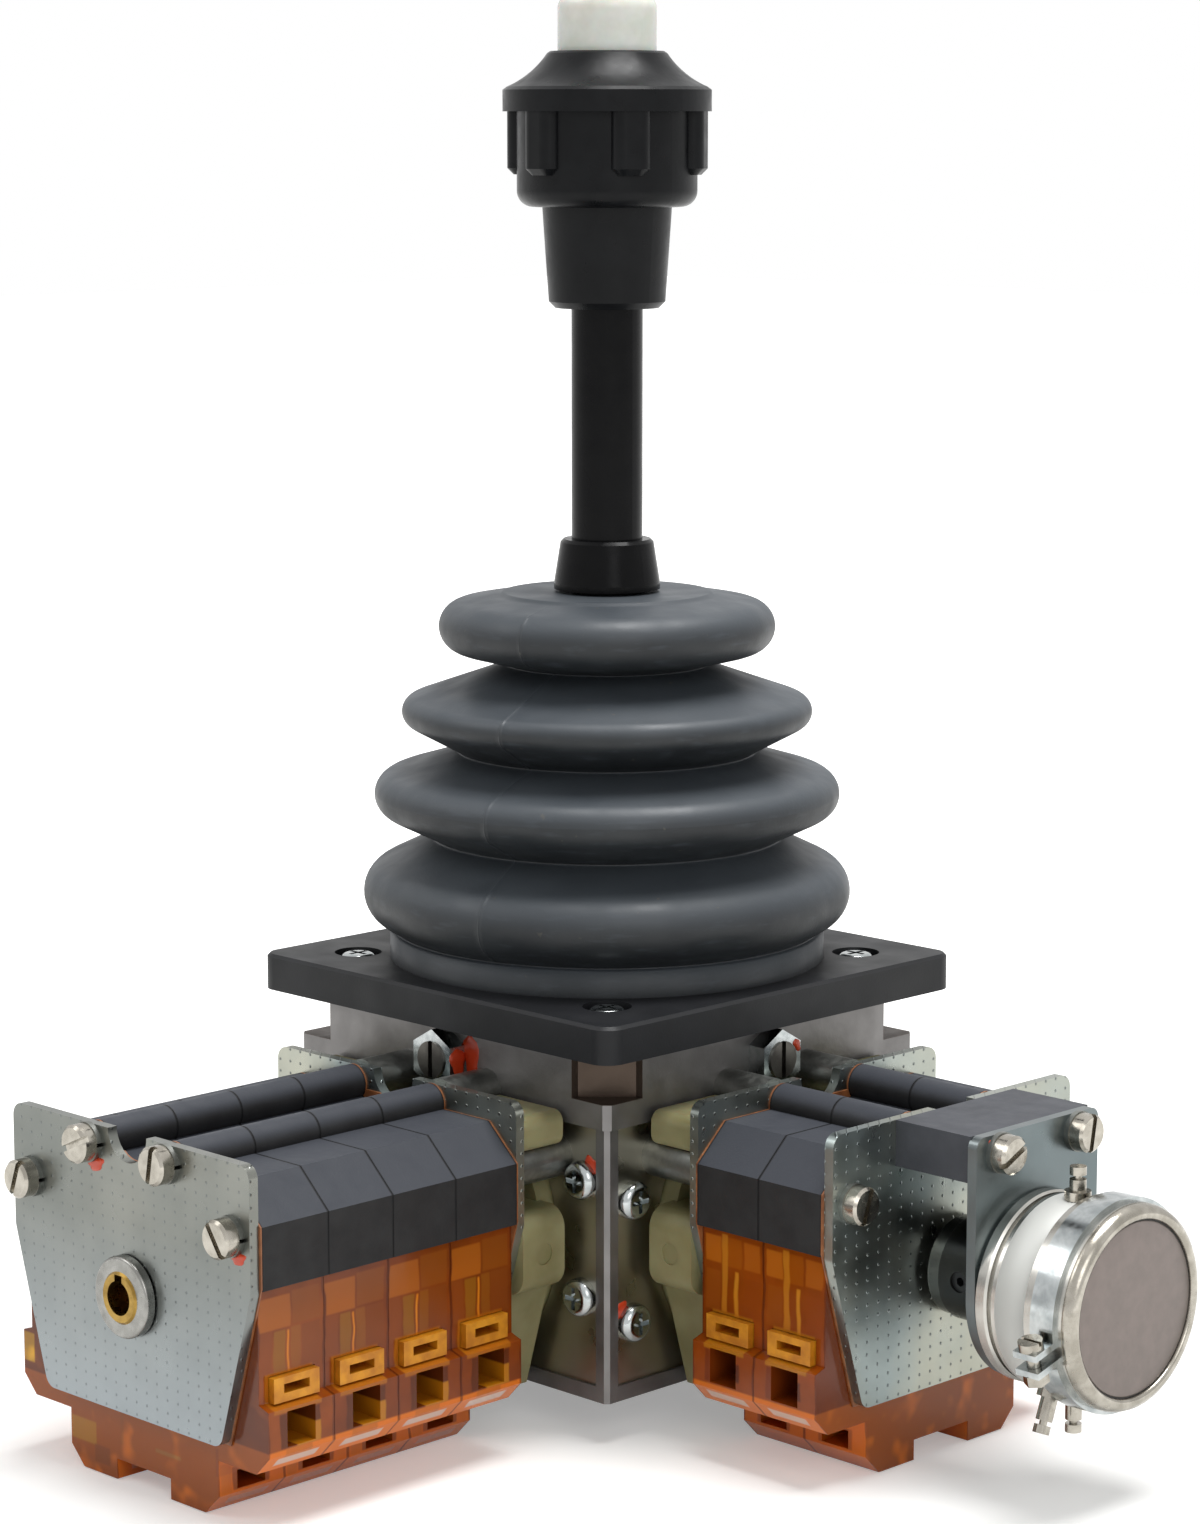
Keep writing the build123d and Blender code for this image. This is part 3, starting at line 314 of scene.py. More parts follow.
def make_zinc_sheet(name, dots_show, first="#8f9998", second="#a3a498", foot=None):
    """A plated sheet: dots_show is how much of its dots is left, foot a painted floor reflection."""
    material, tree, shader = start_material(name, first, 0.3, Metallic=1.0)
    place, colour = cloudy_colour(tree, shader, first, second, 26)
    # The lower part is painted lighter and bluer: a painted reflection of the pale floor.
    if foot:
        apart = add_node(tree, "ShaderNodeSeparateXYZ", {"Vector": place})
        lower = add_node(tree, "ShaderNodeMapRange",
                         {"Value": apart.outputs["Z"], "From Min": PAINTED_REFLECTION_TOP * MM,
                          "From Max": PAINTED_REFLECTION_END * MM})
        colour = paint(tree, colour, lower.outputs["Result"], foot)
    uneven_roughness(tree, shader, place, 7, 0.26, 0.4)
    relief = grain_bump(tree, shader, place, 0.35, 0.006)
    if dots_show:
        dots = dot_mask(tree, place)
        pressed = add_node(tree, "ShaderNodeBump",
                           {"Height": dots, "Distance": DOT_DEPTH * MM, "Strength": dots_show,
                            "Normal": relief})
        tree.links.new(pressed.outputs["Normal"], shader.inputs["Normal"])
        # Each dot is painted a little darker.
        colour = paint(tree, colour, dots, "#5d6466", dots_show)
    tree.links.new(colour, shader.inputs["Base Color"])
    return material


zinc_sheet = make_zinc_sheet("zinc_plated_sheet", 0, "#a09c90", "#aaa699")
bracket_sheet = make_zinc_sheet("zinc_plated_bracket", 0, "#677173", "#727879")
embossed_sheet = make_zinc_sheet("zinc_plated_sheet_embossed", 0.8)
worn_sheet_and_reflection = make_zinc_sheet("zinc_plated_sheet_worn_and_reflection", 0.5, "#747773", "#83847e", "#959ca0")
print(zinc_sheet.name, embossed_sheet.name, worn_sheet_and_reflection.name)

# %% [markdown]
# Nickel-plated screws and turned steel: small bright parts that mirror the room.
# Nickel is a warm white metal; the plating follows the turned head, so it stays smooth. Steel and
# brass off the lathe are a little duller, and a spring's wire is darker from its heat treatment.

# %% Bright metals


def make_bright_metal(name, first, second, low, high, grain):
    """A small metal part: its two tints, the two ends of its roughness and its grain size."""
    return plain_finish(name, first, low, (first, second), 3, (1.5, low, high), (grain, 0.004),
                        Metallic=1.0)


nickel = make_bright_metal("nickel_plated_steel", "#b3aea4", "#99948a", 0.16, 0.3, 0.4)
bright_zinc = make_bright_metal("bright_zinc_plated_steel", "#bcc0c0", "#9da3a4", 0.12, 0.24, 0.4)
dull_zinc = make_bright_metal("dull_zinc_plated_steel", "#858783", "#72736f", 0.34, 0.46, 0.5)
spring_steel = make_bright_metal("spring_steel", "#6f6c67", "#5a5753", 0.3, 0.42, 0.3)
turned_steel = make_bright_metal("turned_steel", "#9a9995", "#83827e", 0.2, 0.34, 0.3)
turned_brass = make_bright_metal("turned_brass", "#a98a48", "#836833", 0.22, 0.36, 0.4)
satin_disc = make_bright_metal("satin_etched_aluminium", "#7f7672", "#7a726e", 0.42, 0.46, 0.25)
print(nickel.name, bright_zinc.name, turned_brass.name)

# %% [markdown]
# Moulded rubber: the bellows is black rubber, vulcanised in a two-part mould.
# It is satin, with scuffs and a few chalky scratches where hands and tools have rubbed it. Its
# faces that look up are painted a lighter grey: grey bloom where dust settles, and painted light
# from above on the fold tops. The scuffs run around the folds, so their noise is squeezed in height.

# %% Moulded rubber
SCUFF_SQUEEZE = 5.0


def make_rubber():
    material, tree, shader = start_material("moulded_rubber", "#17181a", 0.5,
                                            Specular_IOR_Level=0.45)
    place, tint = cloudy_colour(tree, shader, "#1a1d20", "#222629", 18)
    # Faces that look up are painted lighter: dust bloom, and painted light from above.
    colour = paint(tree, tint, facing_up(tree, -0.1, 0.8), "#43494f", 0.8)
    squeezed = add_node(tree, "ShaderNodeMapping",
                        {"Vector": place, "Scale": (1.0, 1.0, SCUFF_SQUEEZE)})
    scuffs = (squeezed.outputs[0], 6, 6.0, 0.56, 0.45, "#454b52")
    scratches = (place, 2.2, 2.0, 0.72, 0.6, "#57534a")
    for vector, size, detail, start, most, hue in (scuffs, scratches):
        noise = add_node(tree, "ShaderNodeTexNoise",
                         {"Vector": vector, "Scale": 1 / (size * MM), "Detail": detail})
        rubbed = add_node(tree, "ShaderNodeMapRange",
                          {"Value": noise.outputs["Fac"], "From Min": start, "From Max": 0.8,
                           "To Max": most})
        colour = paint(tree, colour, rubbed.outputs["Result"], hue)
    tree.links.new(colour, shader.inputs["Base Color"])
    uneven_roughness(tree, shader, place, 8, 0.44, 0.6)
    grain_bump(tree, shader, place, 0.7, 0.03)
    return material


rubber = make_rubber()
print(rubber.name)

# %% [markdown]
# Moulded nylon: the cream bearing carriers are natural nylon, waxy and a little see-through.
# A touch of subsurface light gives that waxy depth, and the tint yellows unevenly with age.

# %% Moulded nylon


def make_nylon(name, first, second):
    return plain_finish(name, first, 0.42, (first, second), 9, (5, 0.36, 0.5), (0.8, 0.02),
                        Subsurface_Weight=0.25, Subsurface_Scale=0.002)


cream_nylon = make_nylon("moulded_nylon", "#8f8a64", "#7c7650")
white_nylon = make_nylon("white_nylon", "#e4e2da", "#d4d1c6")
print(cream_nylon.name, white_nylon.name)

# %% [markdown]
# The contact elements of a stack all have the same width, so a point's place inside its own
# element is its distance along the stack, wrapped at that width. Both mouldings use this place:
# the black one for the painted shade of the gap between two elements, the amber one for what shows
# through its walls and for that painted shade too.

# %% Place inside a contact element
near_high = box_mm("contact_base_front_1")[1]
next_high = box_mm("contact_base_front_2")[1]
ELEMENT_PITCH = near_high[1] - next_high[1]
ELEMENT_START = -near_high[1]
FAR = 100.0


def element_place(tree, place, axis):
    """Distance along the element, distance across it and height, each in millimetres."""
    scaled = add_node(tree, "ShaderNodeVectorMath", {0: place, "Scale": 1 / MM},
                      operation="SCALE")
    apart = add_node(tree, "ShaderNodeSeparateXYZ", {"Vector": scaled.outputs[0]})
    sign = -1 if axis == "Y" else 1
    away = add_node(tree, "ShaderNodeMath",
                    {0: apart.outputs[axis], 1: sign, 2: -ELEMENT_START},
                    operation="MULTIPLY_ADD")
    along = add_node(tree, "ShaderNodeMath", {0: away.outputs[0], 1: ELEMENT_PITCH},
                     operation="FLOORED_MODULO")
    across = apart.outputs["X" if axis == "Y" else "Y"]
    return along.outputs[0], across, apart.outputs["Z"]


def patch_mask(tree, first, second, low, high, soft=0.25):
    """One inside a rectangle of two values and zero outside it, with soft edges."""
    steps = []
    for value, start, end in ((first, low[0], high[0]), (second, low[1], high[1])):
        for edge, turn in ((start, 1), (end, -1)):
            step = add_node(tree, "ShaderNodeMapRange",
                            {"Value": value, "From Min": edge - turn * soft,
                             "From Max": edge + turn * soft}, interpolation_type="SMOOTHSTEP")
            steps.append(step.outputs["Result"])
    mask = steps[0]
    for step in steps[1:]:
        both = add_node(tree, "ShaderNodeMath", {0: mask, 1: step}, operation="MULTIPLY")
        mask = both.outputs[0]
    return mask


def paint_gap_shade(tree, below, along, height, half_width, soft, hue, strength):
    """A line of painted shade in the gap where an element ends and the next one begins."""
    inner = patch_mask(tree, along, height, (half_width, -FAR),
                       (ELEMENT_PITCH - half_width, FAR), soft)
    gap = add_node(tree, "ShaderNodeMath", {0: 1.0, 1: inner}, operation="SUBTRACT")
    return paint(tree, below, gap.outputs[0], hue, strength)


print("element pitch", round(ELEMENT_PITCH, 2), "mm, first at", round(ELEMENT_START, 2), "mm")

# %% [markdown]
# Moulded phenolic: the black upper halves of the contact elements are a filled thermoset.
# It comes out of the mould slate grey and dead matt, with a lighter grey painted on the faces that
# look up, and a thin dark line of painted shade shows the narrow gap where two elements meet.

# %% Moulded phenolic


def make_phenolic(name, axis):
    material, tree, shader = start_material(name, "#2c2d32", 0.6, Specular_IOR_Level=0.3)
    place, tint = cloudy_colour(tree, shader, "#1b1a1b", "#242425", 6)
    # Faces that look up are painted a lighter grey.
    lighter_on_top = paint(tree, tint, facing_up(tree, 0.1, 0.75), "#393c43", 0.9)
    along, _, height = element_place(tree, place, axis)
    # Painted shade: a thin dark line in the narrow gap where two elements meet.
    colour = paint_gap_shade(tree, lighter_on_top, along, height, 0.28, 0.12, "#0c0c0e", 0.9)
    tree.links.new(colour, shader.inputs["Base Color"])
    uneven_roughness(tree, shader, place, 4, 0.5, 0.66)
    grain_bump(tree, shader, place, 0.5, 0.03)
    return material


slate_front = make_phenolic("moulded_phenolic_long_stack", "Y")
slate_right = make_phenolic("moulded_phenolic_short_stack", "X")
print(slate_front.name, slate_right.name)

# %% [markdown]
# The other black pieces differ in how they were finished: the spacer block is machined and matt,
# the grip is polished phenolic, the rod is lacquered and smooth, and the set screw is oxide black.

# %% Black plastics and black oxide


def make_black(name, first, second, low, high, grain, height, **sockets):
    """A black part: its two tints, the two ends of its roughness, its relief's size and height."""
    return plain_finish(name, first, low, (first, second), 6, (4, low, high), (grain, height),
                        **sockets)


block_plastic = make_black("machined_black_plastic", "#32343a", "#3d3f45", 0.55, 0.68, 0.4, 0.025)
grip_plastic = make_black("polished_phenolic_grip", "#0b0c0e", "#111214", 0.26, 0.4, 1.4, 0.02,
                          Specular_IOR_Level=0.14)
rod_plastic = make_black("black_lacquered_rod", "#08080a", "#0d0d0e", 0.16, 0.28, 1.2, 0.012,
                         Specular_IOR_Level=0.1)
socket_black = make_black("black_oxide_steel", "#131416", "#1a1b1d", 0.3, 0.42, 0.4, 0.01)
print(block_plastic.name, grip_plastic.name, rod_plastic.name, socket_black.name)

# %% [markdown]
# Anodised coupling: the coupling's body is glossy black, and its first step, next to the end
# plate, is bare steel. One material switches from steel to black at that step's place.

# %% Coupling
COUPLING_STEP = 2.8
COUPLING_EDGE = 0.05


def make_coupling_finish():
    material, tree, shader = start_material("black_anodised_coupling", "#1c1d1c", 0.2)
    place, tint = cloudy_colour(tree, shader, "#191a19", "#22231f", 5)
    edge = box_mm("shaft_coupling")[0][0] + COUPLING_STEP
    apart = add_node(tree, "ShaderNodeSeparateXYZ", {"Vector": place})
    steel = add_node(tree, "ShaderNodeMapRange",
                     {"Value": apart.outputs["X"], "From Min": (edge + COUPLING_EDGE) * MM,
                      "From Max": (edge - COUPLING_EDGE) * MM})
    colour = paint(tree, tint, steel.outputs["Result"], "#6d6e6c")
    tree.links.new(colour, shader.inputs["Base Color"])
    tree.links.new(steel.outputs["Result"], shader.inputs["Metallic"])
    uneven_roughness(tree, shader, place, 4, 0.16, 0.28)
    grain_bump(tree, shader, place, 0.5, 0.008)
    return material


coupling_finish = make_coupling_finish()
print(coupling_finish.name)

# %% [markdown]
# Amber polycarbonate: the lower halves of the contact elements are see-through orange mouldings.
# Their walls are thick, so they look like coloured glass with the contact bars, screws and clamps
# behind them as lighter and darker blocks. Those blocks are painted into the colour at their real
# place, over a shader that is glossy and lets a little light through. Some blocks are painted light:
# the first block of a stack is its whole foot, painted bright orange as the glow where light passes
# under it; a pale strip low on each element is a painted reflection on its chamfer; and the end
# wall's two brightest blocks are painted glow. Each row of a list below is one block: where it
# starts along the element and in height, where it ends, its colour and its strength.

# %% Blocks behind the amber walls, and painted glow and reflection
LONG_STACK_BLOCKS_AND_LIGHT = [
    # Painted glow: the whole foot, bright where light passes under it.
    ((-2.0, -76.0), (17.0, -58.6), "#f07e16", 0.85),
    ((0.9, -37.6), (7.3, -31.6), "#964f16", 0.8), ((7.7, -37.8), (14.6, -32.0), "#b4621c", 0.9),
    ((0.9, -46.0), (5.2, -38.0), "#8a4618", 0.7), ((5.4, -45.5), (7.6, -38.0), "#9c5c1a", 0.6),
    ((8.8, -46.0), (11.4, -38.2), "#9a6218", 0.8), ((11.8, -46.0), (14.6, -38.0), "#90481a", 0.7),
    ((8.0, -50.5), (8.4, -38.4), "#f0901e", 0.85), ((2.6, -52.0), (13.4, -45.4), "#c87a18", 0.55),
    ((3.0, -58.4), (12.2, -52.2), "#5c2a0e", 0.85), ((3.0, -58.6), (8.6, -55.0), "#cc8416", 0.8),
    # The pale strip from -61.9 to -60.3 mm is a painted reflection on the chamfer.
    ((5.0, -60.4), (11.0, -58.6), "#b8661a", 0.6), ((2.8, -61.9), (12.0, -60.3), "#dccabe", 0.85),
    ((2.6, -72.2), (11.6, -70.8), "#c8a490", 0.6), ((3.4, -69.2), (11.6, -65.0), "#74380f", 0.7),
    ((11.9, -69.5), (14.4, -64.0), "#c06c1c", 0.5)]
SHORT_STACK_BLOCKS_AND_LIGHT = [
    # Painted glow: the whole foot, bright where light passes under it.
    ((-2.0, -76.0), (17.0, -58.6), "#f07e16", 0.8),
    ((0.8, -36.5), (4.6, -31.6), "#c06a1a", 0.8), ((5.6, -36.8), (9.6, -31.4), "#a8560f", 0.7),
    ((10.2, -36.6), (14.2, -31.6), "#b8631a", 0.7), ((4.8, -45.5), (6.2, -31.0), "#cf8424", 0.7),
    ((8.0, -46.5), (8.9, -37.5), "#d98f28", 0.8), ((0.8, -45.5), (4.4, -38.0), "#9c4f12", 0.7),
    ((10.4, -45.5), (14.2, -38.2), "#94440e", 0.7), ((2.6, -52.0), (12.6, -45.4), "#cc8a1c", 0.6),
    ((3.0, -58.2), (10.6, -52.2), "#7a3510", 0.8), ((7.0, -57.0), (11.4, -53.6), "#4a1f0c", 0.8),
    # The pale strip from -61.8 to -60.2 mm is a painted reflection on the chamfer.
    ((2.8, -61.8), (12.0, -60.2), "#e0c8b8", 0.85), ((3.4, -69.2), (11.6, -65.4), "#8e4010", 0.6)]
END_FACE_BLOCKS_AND_GLOW = [
    # Painted glow: the first two blocks, the brightest on the end wall.
    ((-34.4, -57.0), (-31.4, -51.6), "#ffbe28", 1.0),
    ((-20.6, -68.4), (-13.5, -64.2), "#ffb020", 0.9),
    ((3.5, -65.6), (10.5, -64.9), "#e09a3a", 0.8), ((-6.5, -66.5), (-5.6, -60.5), "#d0761c", 0.6),
    ((-14.0, -71.5), (-9.6, -68.2), "#b8641a", 0.7), ((20.2, -66.0), (20.9, -61.0), "#b0602a", 0.5)]
print(len(LONG_STACK_BLOCKS_AND_LIGHT), len(SHORT_STACK_BLOCKS_AND_LIGHT), len(END_FACE_BLOCKS_AND_GLOW), "blocks")

# %% [markdown]
# The amber itself is moulded in thick walls that bend the view, so the blocks' edges waver by half
# a millimetre to each side. The last element also shows its end wall, which has blocks of its own:
# on that wall a block's place is measured across the element.

# %% Amber polycarbonate
WAVER = 1.1
WAVER_SIZE = 5


def make_amber(name, axis, first, second, blocks, end_blocks=()):
    """Amber walls: blocks lie along the stack's axis, end_blocks across it."""
    material, tree, shader = start_material(
        name, first, 0.14, Transmission_Weight=0.16, IOR=1.58, Specular_IOR_Level=0.2,
        Subsurface_Weight=0.1, Subsurface_Scale=0.003)
    place, colour = cloudy_colour(tree, shader, first, second, 9)
    noise = add_node(tree, "ShaderNodeTexNoise",
                     {"Vector": place, "Scale": 1 / (WAVER_SIZE * MM), "Detail": 1.0})
    spread = add_node(tree, "ShaderNodeMath", {0: noise.outputs["Fac"], 1: WAVER, 2: -WAVER / 2},
                      operation="MULTIPLY_ADD")
    straight, across, height = element_place(tree, place, axis)
    wavering = add_node(tree, "ShaderNodeMath", {0: straight, 1: spread.outputs[0]},
                        operation="ADD")
    along = wavering.outputs[0]
    for run, rows in ((along, blocks), (across, end_blocks)):
        for low, high, hue, strength in rows:
            mask = patch_mask(tree, run, height, low, high)
            colour = paint(tree, colour, mask, hue, strength)
    # Painted shade: a thin dark line in the narrow gap where two elements meet.
    colour = paint_gap_shade(tree, colour, along, height, 0.3, 0.15, "#4e1f10", 0.6)
    tree.links.new(colour, shader.inputs["Base Color"])
    uneven_roughness(tree, shader, place, 6, 0.1, 0.2)
    grain_bump(tree, shader, place, 2.5, 0.02)
    return material


amber_front = make_amber("amber_polycarbonate_long_stack", "Y", "#8e4210", "#7a380f",
                         LONG_STACK_BLOCKS_AND_LIGHT)
amber_end = make_amber("amber_polycarbonate_last_element", "Y", "#9c4c13", "#864010",
                       LONG_STACK_BLOCKS_AND_LIGHT, END_FACE_BLOCKS_AND_GLOW)
amber_right = make_amber("amber_polycarbonate_short_stack", "X", "#9c480c", "#883e0a",
                         SHORT_STACK_BLOCKS_AND_LIGHT)
print(amber_front.name, amber_end.name, amber_right.name)

# %% [markdown]
# Brass seen through amber: the terminal clamps sit behind the orange wall, so the bare brass turns
# a bright yellow orange with a soft gloss instead of a metal's mirror.

# %% Amber-tinted brass
tinted_brass = plain_finish("amber_tinted_brass", "#cf8a1c", 0.35, ("#d8931d", "#b97416"), 3,
                            (2, 0.28, 0.42), (0.8, 0.02), Metallic=0.25)
print(tinted_brass.name)

# %% [markdown]
# Three more finishes: the brown laminate of the insulating sheets, the spun aluminium of the
# potentiometer's can, whose fine turning lines run around its axis, and the white see-through
# acetal of the push button.

# %% Laminate, spun aluminium and acetal
TURNING_SQUEEZE = 40.0


def make_spun_aluminium():
    material, tree, shader = start_material("spun_aluminium", "#bdbbb5", 0.25, Metallic=1.0,
                                            Anisotropic=0.5)
    place, _ = cloudy_colour(tree, shader, "#c3c1bb", "#a8a6a0", 10)
    squeezed = add_node(tree, "ShaderNodeMapping",
                        {"Vector": place, "Scale": (TURNING_SQUEEZE, 1.0, 1.0)})
    grain_bump(tree, shader, squeezed.outputs[0], 4, 0.004)
    return material


laminate = plain_finish("copper_brown_laminate", "#8f5a36", 0.4, ("#9a6038", "#754426"), 3,
                        None, (0.3, 0.01))
spun_aluminium = make_spun_aluminium()
acetal = plain_finish("white_acetal", "#e9ebe4", 0.22, ("#eef0ea", "#dfe2d8"), 6, None,
                      (1.2, 0.01), Transmission_Weight=0.15, IOR=1.48, Subsurface_Weight=0.3,
                      Subsurface_Scale=0.004)
print(laminate.name, spun_aluminium.name, acetal.name)

# %% [markdown]
# The rigid CAD pieces are already the right shape, so they stay and only take their finish.
# A table of finish to pieces is the shortest way to dress them all.

# %% Dress the CAD pieces


def series(name, count):
    """Names such as contact_top_front_1 to contact_top_front_4."""
    return [f"{name}_{i + 1}" for i in range(count)]


finishes = [
    (powder_coat, ["mounting_plate"]),
    (cast_zinc, ["upper_housing", "lower_housing"]),
    (zinc_sheet, ["face_plate_front", "face_plate_right"]),
    (bracket_sheet, ["pot_bracket"]),
    (embossed_sheet, ["inner_plate_front", "inner_plate_right", "outer_plate_right"]),
    (worn_sheet_and_reflection, ["outer_plate_front"]),
    (bright_zinc, ["plate_screws", "face_screws", "stop_nuts", "pot_clamp_band"]),
    (dull_zinc, ["spacer_tubes", "lock_washers"]),
    (nickel, ["tie_screws_front", "tie_screws_right", "pot_clamp_screw", "pot_terminals"]),
    (spring_steel, ["stop_screws", "return_spring_front", "return_spring_right",
                    "button_spring"]),
    (turned_steel, ["shaft_x", "shaft_y", "cross_pin", "pot_shaft", "shaft_collar"]),
    (turned_brass, ["shaft_bushes", "shaft_end_bush"]),
    (tinted_brass, ["contact_terminals"]),
    (rubber, ["bellows"]),
    (cream_nylon, ["bearing_carrier_front", "bearing_carrier_right"]),
    (white_nylon, ["cams_x", "cams_y"]),
    (slate_front, series("contact_top_front", 4)),
    (slate_right, series("contact_top_right", 2)),
    (amber_front, series("contact_base_front", 3)),
    (amber_end, ["contact_base_front_4"]),
    (amber_right, series("contact_base_right", 2)),
    (laminate, ["insulating_sheets"]),
    (block_plastic, ["spacer_block"]),
    (coupling_finish, ["shaft_coupling"]),
    (socket_black, ["coupling_screw"]),
    (spun_aluminium, ["pot_case"]),
    (satin_disc, ["pot_cover"]),
    (rod_plastic, ["lever_rod", "rod_collar"]),
    (grip_plastic, ["grip", "grip_cap"]),
    (acetal, ["button"]),
]
for material, names in finishes:
    for name in names:
        mesh = nodes[name].data
        mesh.materials.clear()
        mesh.materials.append(material)
dressed = sum(len(names) for _, names in finishes)
print(dressed, "of", len(nodes), "pieces dressed")

# %% [markdown]
# A few small builders serve every added piece. Rings of points that follow one another are joined
# by four-sided faces, a profile is spun about an axis into such rings, and a finished mesh is put
# in the scene with its material and lets itself be carried by a body.

# %% Builders for added pieces
TURN_STEPS = 160


def ring_faces(rings, count):
    """Faces between rings that have the same number of points."""
    return [(ring * count + step, ring * count + (step + 1) % count,
             (ring + 1) * count + (step + 1) % count, (ring + 1) * count + step)
            for ring in range(rings - 1) for step in range(count)]


def smooth_mesh(name, points, faces):
    """A smooth-shaded mesh from points in millimetres."""
    mesh = bpy.data.meshes.new(name)
    mesh.from_pydata([[value * MM for value in point] for point in points], [], faces)
    mesh.polygons.foreach_set("use_smooth", [True] * len(mesh.polygons))
    return mesh


def spun_mesh(name, profile, place, turns=None):
    """A skin spun from radius and height pairs; place turns a radius, height and angle
    into a point."""
    turns = turns or [360 * step / TURN_STEPS for step in range(TURN_STEPS)]
    points = [place(radius, height, turn) for radius, height in profile for turn in turns]
    return smooth_mesh(name, points, ring_faces(len(profile), len(turns)))


def place_piece(name, mesh, material, body=None):
    """Puts a mesh in the scene with its finish, and lets it ride on a body."""
    piece = bpy.data.objects.new(name, mesh)
    bpy.context.scene.collection.objects.link(piece)
    mesh.materials.append(material)
    if body:
        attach(piece, body)
    return piece


print("builders ready,", TURN_STEPS, "steps a turn")

# %% [markdown]
# The bellows is a moulded rubber skin with four folds. Its profile is drawn as the mould maker
# draws it: a round crest for each fold, and straight walls that touch the crest and meet in the
# neck below and above it. Each sharp neck is then eased a little. A crest is given by its reach,
# its height and its rounding, and the other points by radius and height.

# %% Profile of the bellows
SKIRT = [(42.2, 7.0), (42.2, 12.0)]
CRESTS = [(47.2, 19.8, 6.6), (45.0, 38.8, 4.4), (39.6, 54.8, 3.0), (32.4, 71.2, 5.0)]
NECKS = [(41.0, 12.4), (33.6, 30.5), (28.4, 47.0), (19.4, 64.0), (22.3, 76.6)]
CROWN = [(21.9, 77.2), (20.4, 77.35), (20.1, 77.75), (19.6, 77.8), (12.0, 77.8), (7.2, 77.8)]
CREST_STEPS = 14
NECK_EASE = 0.8
NECK_SHARE = 0.45
EASE_STEPS = 4


def touch_angle(outside, centre, radius, turn):
    """Where a line from a point outside touches a circle, on the side that turn picks."""
    across, along = outside[0] - centre[0], outside[1] - centre[1]
    return math.atan2(along, across) + turn * math.acos(radius / math.hypot(across, along))


def eased_corner(before, corner, after):
    """A corner cut back on both walls and bowed between the cuts."""
    ends = []
    for other in (before, after):
        share = min(NECK_SHARE, NECK_EASE / math.dist(corner, other))
        ends.append([c + share * (o - c) for c, o in zip(corner, other)])
    curve = []
    for step in range(EASE_STEPS + 1):
        t = step / EASE_STEPS
        curve.append(tuple((1 - t) ** 2 * a + 2 * t * (1 - t) * c + t * t * b
                           for a, c, b in zip(ends[0], corner, ends[1])))
    return curve


def bellows_profile():
    """The skin from foot to crown, and where on it each crest stands."""
    line, crests = list(SKIRT), []
    for i, (reach, height, rounding) in enumerate(CRESTS):
        centre = (reach - rounding, height)
        start, end = sorted((touch_angle(NECKS[i], centre, rounding, 1),
                             touch_angle(NECKS[i + 1], centre, rounding, -1)))
        turns = [start + (end - start) * step / CREST_STEPS for step in range(CREST_STEPS + 1)]
        arc = [(centre[0] + rounding * math.cos(turn), centre[1] + rounding * math.sin(turn))
               for turn in turns]
        line += eased_corner(line[-1], NECKS[i], arc[0]) + arc
        crests.append(len(line) - 1 - CREST_STEPS // 2)
    return line + CROWN, crests


skin, crest_places = bellows_profile()
print("bellows profile points:", len(skin))

# %% [markdown]
# A mould line runs up both sides of the bellows, one of them 30 degrees left of the camera. The
# skin is made in two halves that meet at the second crest.

# %% Bellows
PLAIN_STEPS = 150
SEAM_TURNS = (-75.0, 105.0)
SEAM_OFFSETS = (-0.64, -0.4, -0.2, 0.0, 0.2, 0.4, 0.64)
SEAM_HALF_TURN = 0.62
SEAM_HEIGHT = 0.34
SEAM_FOOT, SEAM_TOP = 12.5, 76.5
SPLIT_CREST = 1


def on_bellows(radius, height, turn):
    off = min(abs((turn - seam + 180) % 360 - 180) for seam in SEAM_TURNS)
    if SEAM_FOOT < height < SEAM_TOP:
        radius += SEAM_HEIGHT * max(0.0, 1 - off / SEAM_HALF_TURN)
    angle = math.radians(turn)
    return radius * math.cos(angle), radius * math.sin(angle), height


plain_turns = [360 * step / PLAIN_STEPS for step in range(PLAIN_STEPS)]
seam_turns = [(seam + offset) % 360 for seam in SEAM_TURNS for offset in SEAM_OFFSETS]
bellows_turns = sorted(set(plain_turns + seam_turns))
split = crest_places[SPLIT_CREST]


def bellows_half(name, profile):
    mesh = spun_mesh(name, profile, on_bellows, bellows_turns)
    return place_piece(name, mesh, rubber)


lower = bellows_half("bellows_lower", skin[:split + 1])
upper = bellows_half("bellows_upper", skin[split:])
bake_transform(lower)
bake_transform(upper)
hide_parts("bellows")
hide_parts("bellows")

# %% [markdown]
# The button's spring is a wire coil that stands in the grip and carries the button. It closes when
# the button is pressed. A copy of the coil takes the CAD spring's place, and the CAD spring is
# hidden.

# %% Button spring
coil_mesh = nodes["button_spring"].data.copy()
coil_mesh.materials.clear()
coil = place_piece("button_coil", coil_mesh, spring_steel)
coil.matrix_world = nodes["button_spring"].matrix_world.copy()
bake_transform(coil)
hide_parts("button_spring")

# %% [markdown]
# The potentiometer is a bought component: a turned can clamped by a bright steel band. The paper
# label around its body is bare here, and the rear is a rolled bright rim around an etched grey
# disc. All of these are thin skins, spun about the can's axis. The rim and the disc stand in for
# the plain CAD cover, and their profiles are pairs of a radius and a distance from the rear end.

